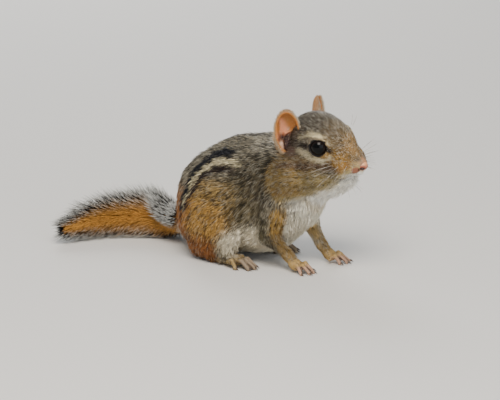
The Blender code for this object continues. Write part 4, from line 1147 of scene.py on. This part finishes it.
def ear_rough():
    """A bowl cut from an egg, with a wall of its own."""
    rough = bmesh.new()
    bmesh.ops.create_icosphere(rough, subdivisions=4, radius=1.0)
    inner = EAR_HALF - 0.5 * EAR_WALL
    bmesh.ops.transform(rough, matrix=Matrix.Diagonal((*inner, 1.0)), verts=rough.verts)
    bmesh.ops.bisect_plane(
        rough,
        geom=[*rough.verts, *rough.edges, *rough.faces],
        plane_co=(1.2, 0.0, 0.0),
        plane_no=(1.0, 0.0, 0.0),
        clear_outer=True,
    )
    bmesh.ops.recalc_face_normals(rough, faces=rough.faces)
    bmesh.ops.solidify(rough, geom=rough.faces[:], thickness=EAR_WALL)
    return rough


def ear_surface(points):
    cup = np.maximum(ear_shell.distance(points), -ear_hollow.distance(points))
    parts = field(ear_parts, points)
    overlap = np.maximum(0.7 - np.abs(cup - parts), 0.0)
    return np.minimum(cup, parts) - overlap**2 / 2.8


# Thin skin: soft and half clear, with creases and veins about 1 mm apart.
ear_finish, ear_shader = toned(
    "thin ear skin",
    dict(Scale=900.0, Detail=4.0, Distortion=0.6),
    (0.8, 1.2),
    (0.35, 0.1 * MM),
    Roughness=0.5,
    Subsurface_Weight=0.3,
    Subsurface_Scale=1.2 * MM,
    Specular_IOR_Level=0.35,
)
ear_shader.inputs["Subsurface Radius"].default_value = (1.0, 0.35, 0.18)


def layered(ground, *coats):
    """A ground colour with coats laid over it in turn, as (colour, share at each point)."""
    colour = np.tile(linear(ground), (len(coats[0][1]), 1))
    for code, amount in coats:
        colour += (linear(code) - colour) * amount[:, None]
    return colour


def off_centre(own):
    """How far out on the ear's oval each place is, 1 at its edge."""
    return np.hypot(own[:, 1] / EAR_HALF[1], own[:, 2] / EAR_HALF[2])


def ear_colours(own):
    """The ear skin's colour at places in the ear's own frame."""
    inside = smooth(0.25, 0.0, ear_hollow.distance(own))
    wide, high = own[:, 1], own[:, 2]
    passage_shade = smooth(5.4, 3.0, wide) * smooth(-3.6, -1.2, wide)
    return layered(
        "#b87f45",
        ("#d68f68", inside),
        ("#a0662c", inside * smooth(1.2, -2.0, wide - 0.35 * high)),
        ("#a3662e", inside * smooth(5.0, 8.5, high)),
        ("#b87436", inside * smooth(3.2, 4.6, wide) * smooth(-3.0, 1.0, high)),
        ("#935d44", inside * smooth(0.5, -3.5, high)),
        # Painted shade in the passage at the foot of the cup.
        ("#34190f", inside * smooth(-0.2, -3.4, high) * passage_shade),
        ("#a8763c", inside * smooth(-2.2, -4.2, wide) * smooth(0.0, -4.0, high)),
        ("#b9957c", smooth(-3.6, -5.5, high) * smooth(2.2, 3.4, wide)),
        ("#b0702e", smooth(0.4, 1.0, own[:, 0]) * smooth(0.84, 0.92, off_centre(own))),
    )


for side, flip in SIDES.items():
    ear = shaped(f"ear_{side}", ear_parts, ear_surface, (0.24,), built=ear_rough())
    own = points_of(ear.data)
    if side == "right":
        ear.data.flip_normals()
    tinted(ear.data, ear_colours(own))
    turn = HEAD_TURN @ np.diag(flip) @ EAR_TURN
    at = HEAD_TURN @ (EAR_AT * flip) + HEAD_AT
    put_points(ear.data, own @ turn.T + at)
    unwrapped(ear)
    ear.data.materials.append(ear_finish)

    def ear_spots(points):
        """The places in the ear's own frame, which are inside its cup, and how near its rim."""
        own = (points - at) @ turn
        rim = smooth(0.86, 0.94, off_centre(own)) * smooth(0.5, 1.4, own[:, 0])
        return own, ear_hollow.distance(own) < 0.3, rim

    def ear_density(points, normals):
        _, inner, rim = ear_spots(points)
        return thin_out * (np.where(inner, 1.6, 17.0) + 8.0 * rim)

    chance = np.random.default_rng(41)
    root, normal, patch = sown(ear, ear_density, 41)
    own, inner, rim = ear_spots(root)
    fan = np.stack([np.where(rim > 0.5, 0.5, 0.0), own[:, 1] / 6.2, 0.55 + own[:, 2] / 14.0], 1)
    way = across_skin(fan @ turn.T + 0.2 * chance.normal(size=root.shape), normal)
    length = chance.uniform(0.9, 1.5, len(root)) * np.where(inner, 0.8, 1.1)
    stand = np.where(rim > 0.5, 0.45, 0.16) * length
    spine = np.stack([root - normal * 0.12, root + way * length[:, None] + normal * stand[:, None]], 1)
    width = (chance.uniform(0.055, 0.1, len(root)) / math.sqrt(thin_out))[:, None]
    pale = chance.random(len(root))[:, None]
    brown, cream, dull, white = (linear(c) for c in ("#a8703a", "#d9c8a8", "#8d7f6a", "#e4dcc8"))
    brown = brown + (cream - brown) * smooth(0.4, 1.0, pale)
    grey = dull + (white - dull) * smooth(0.35, 0.9, pale)
    ahead = np.where(inner, 1.0, smooth(-4.8, -1.5, own[:, 1]))[:, None]
    hair = grey + (brown - grey) * ahead
    hair = hair + (linear("#e0d0b0") - hair) * (rim * 0.55)[:, None]
    tone = np.stack([hair * 0.7, hair], 1)
    for piece in locks(f"ear_hair_{side}", spine, normal, width, tone, patch, hair_finish):
        finished(piece, "ear_skin")
    finished(ear, "ear_skin", f"ear_{side}")


# Eyes. Large, round and nearly all pupil, a wet black with a dark brown ring that shows only close
# to, set in the dark rims of the lids and clear all over as polished glass.
# Wet eye: as clear and sharp as glass, with the iris's flecks 0.4 mm apart.
eye_finish, _ = toned(
    "wet black eye",
    dict(Scale=2500.0, Detail=2.0),
    (0.6, 1.4),
    Roughness=0.04,
    IOR=1.34,
    Specular_IOR_Level=0.3,
)
for side, flip in SIDES.items():
    built = bmesh.new()
    bmesh.ops.create_uvsphere(built, u_segments=64, v_segments=40, radius=EYE_RADIUS)
    looks = Vector(EYE_LOOKS).normalized()
    turn = looks.to_track_quat("Z", "Y").to_matrix().to_4x4()
    bmesh.ops.transform(built, matrix=turn, verts=built.verts)
    mesh = mesh_of(built, f"eyeball_{side}")
    eye = placed(f"eyeball_{side}", mesh, eye_finish)
    own = points_of(mesh)
    out = np.degrees(np.arccos(np.clip(own @ np.array(looks) / EYE_RADIUS, -1.0, 1.0)))
    pupil, iris = linear("#030303"), linear("#140c08")
    ring = smooth(34.0, 40.0, out) * smooth(68.0, 58.0, out)
    tinted(mesh, pupil + (iris - pupil) * ring[:, None])
    if side == "right":
        mesh.flip_normals()
    put_points(mesh, (own + EYE_AT) * flip @ HEAD_TURN.T + HEAD_AT)
    mesh.shade_smooth()
    finished(eye, "eye", f"eye_{side}")


# Nose. A small bare pad of pinkish-brown pebbled skin, split below by a groove to the lip, with a
# comma of a nostril on each side.
NOSE = [
    Egg((20.4, 0.0, -7.4), (2.1, 2.1, 2.2), soft=1.0),
    *both_sides([Egg((19.6, 1.5, -7.9), (1.9, 1.5, 1.7), soft=1.0)]),
    Limb((20.2, 0.0, -8.6), (18.9, 0.0, -10.5), 1.0, 0.7, soft=0.8),
]
NOSTRILS = both_sides(
    [
        Egg((21.2, 1.75, -8.3), (1.2, 0.72, 0.6), turned(35.0), soft=0.3),
        Limb((21.0, 2.2, -8.2), (19.4, 3.3, -8.9), 0.5, 0.28, soft=0.3),
    ]
)
CLEFT = Limb((22.7, 0.0, -8.2), (20.7, 0.0, -11.2), 0.16, 0.22)


def nose_surface(points):
    return np.maximum(field(NOSE, points), -np.minimum(field(NOSTRILS, points), CLEFT.distance(points)))


nose = shaped("nose_pad", NOSE, nose_surface, (0.3, 0.16))
own = points_of(nose.data)
from_nostril = field(NOSTRILS, own)
# Darker round each nostril, with painted shade inside the nostrils and along the cleft.
nose_colour = layered(
    "#b8735a",
    ("#e3a271", smooth(-7.6, -5.8, own[:, 2])),
    ("#9a5038", smooth(1.5, 0.5, from_nostril)),
    ("#3a1f1a", smooth(0.5, 0.1, from_nostril)),
    ("#7a4838", smooth(0.4, 0.1, CLEFT.distance(own))),
)
tinted(nose.data, nose_colour)
put_points(nose.data, own @ HEAD_TURN.T + HEAD_AT)
# Moist skin: a soft shine, broken by pebbles about 0.35 mm across.
nose_finish, _ = toned(
    "moist nose skin",
    dict(Scale=2800.0),
    (1.15, 0.8),
    (0.5, -0.08 * MM),
    pattern="ShaderNodeTexVoronoi",
    Roughness=0.34,
    Subsurface_Weight=0.15,
    Subsurface_Scale=0.8 * MM,
    Specular_IOR_Level=0.5,
)
nose.data.materials.append(nose_finish)
finished(nose, "nose_skin", "nose")


# Claws. Narrow hooks of dark horn, one to a toe, each a round tapered body that is drawn out
# along its curve, flattened on both sides and closed at both ends.
def spun_along(built, route, radii, flat, segments, rings):
    """A round tapered body drawn along the curve from the first point to the last."""
    start, knee, tip = (np.array(p) for p in route)
    made = bmesh.ops.create_uvsphere(built, u_segments=segments, v_segments=rings, radius=1.0)["verts"]
    for vert in made:
        share = math.acos(max(-1.0, min(1.0, -vert.co.z))) / math.pi
        centre = (1 - share) ** 2 * start + 2 * share * (1 - share) * knee + share**2 * tip
        along = 2 * (1 - share) * (knee - start) + 2 * share * (tip - knee)
        along /= np.linalg.norm(along)
        side = np.cross(UP, along)
        side /= max(np.linalg.norm(side), 1e-6)
        off_axis = math.hypot(vert.co.x, vert.co.y)
        round_off = off_axis**0.35 / max(off_axis, 1e-6)
        radius = radii[0] + (radii[1] - radii[0]) * share
        place = (side * vert.co.x * flat + np.cross(along, side) * vert.co.y) * radius * round_off
        vert.co = centre + (place if 0.001 < share < 0.999 else 0.0)


built = bmesh.new()
for bone in claw_bones:
    spun_along(built, bone, (0.72, 0.12), 0.6, 10, 12)
bmesh.ops.recalc_face_normals(built, faces=built.faces)
claws = placed("claws", mesh_of(built, "claws"))
claws.data.shade_smooth()


def ramped(name, scale, *stops, **shader_settings):
    """A material that changes from one colour to another, given as (place, colour), in patches."""
    made, shader, tree = new_material(name, **shader_settings)
    spot = add_node(tree, "ShaderNodeTexCoord")
    grain = add_node(
        tree, "ShaderNodeTexNoise", [(spot.outputs["Object"], "Vector")], Scale=scale, Detail=2.0
    )
    ramp = add_node(tree, "ShaderNodeValToRGB", [(grain.outputs[0], "Fac")])
    for stop, (position, code) in zip(ramp.color_ramp.elements, stops):
        stop.position = position
        stop.color = (*linear(code), 1.0)
    tree.links.new(ramp.outputs[0], shader.inputs["Base Color"])
    return made


# Horn: smooth and half clear, mottled every 0.6 mm by the way it grows.
claws.data.materials.append(
    ramped("claw horn", 1800.0, (0.35, "#2e2620"), (0.7, "#6b594b"), Roughness=0.32, IOR=1.55)
)
finished(claws, "forefoot_skin")


# Whiskers. Stiff fine hairs in four rows on each side of the muzzle, with a few over the eye and
# on the chin. Each springs from the fur, bends back and thins out to its tip.
chance = np.random.default_rng(51)
built = bmesh.new()
for flip in SIDES.values():
    hairs = []
    for row in range(4):
        for place in range(4):
            start = (16.0 - 1.9 * place - 0.3 * row, 3.7 + 0.95 * place, -5.6 - 1.35 * row - 0.1 * place)
            way = np.array((0.95 - 0.34 * place, 0.95 + 0.12 * place, 0.34 - 0.26 * row))
            way += 0.08 * chance.normal(size=3)
            length = (8.0 + 3.6 * place) * chance.uniform(0.85, 1.15)
            hairs.append((start, way, length, (-0.143, 0.0275, -0.121), (0.14, 0.05), 14))
    for start, way, length in (
        ((6.5, 8.2, 7.2), (0.1, 0.55, 0.85), 8.0),
        ((5.2, 8.9, 7.4), (-0.2, 0.6, 0.8), 6.5),
        ((12.5, 3.0, -20.5), (0.7, 0.3, -0.55), 6.0),
        ((14.5, 2.0, -19.5), (0.85, 0.2, -0.35), 5.0),
    ):
        hairs.append((start, np.array(way), length, (-0.12, 0.0, -0.1), (0.1, 0.04), 12))
    for start, way, length, bend, radii, rings in hairs:
        reach = way / np.linalg.norm(way) * length
        route = [np.array(start), start + reach * 0.5, start + reach + np.array(bend) * length]
        route = [HEAD_TURN @ (point * flip) + HEAD_AT for point in route]
        spun_along(built, route, radii, 1.0, 5, rings)
bmesh.ops.recalc_face_normals(built, faces=built.faces)
whiskers = placed("whiskers", mesh_of(built, "whiskers"))
whiskers.data.shade_smooth()
# Whisker hair: smooth and glossy, in darker and paler stretches about 4 mm long.
whiskers.data.materials.append(
    ramped("stiff whisker hair", 250.0, (0.35, "#5c5248"), (0.6, "#c9c1b2"), Roughness=0.4)
)
finished(whiskers, "head_coat")
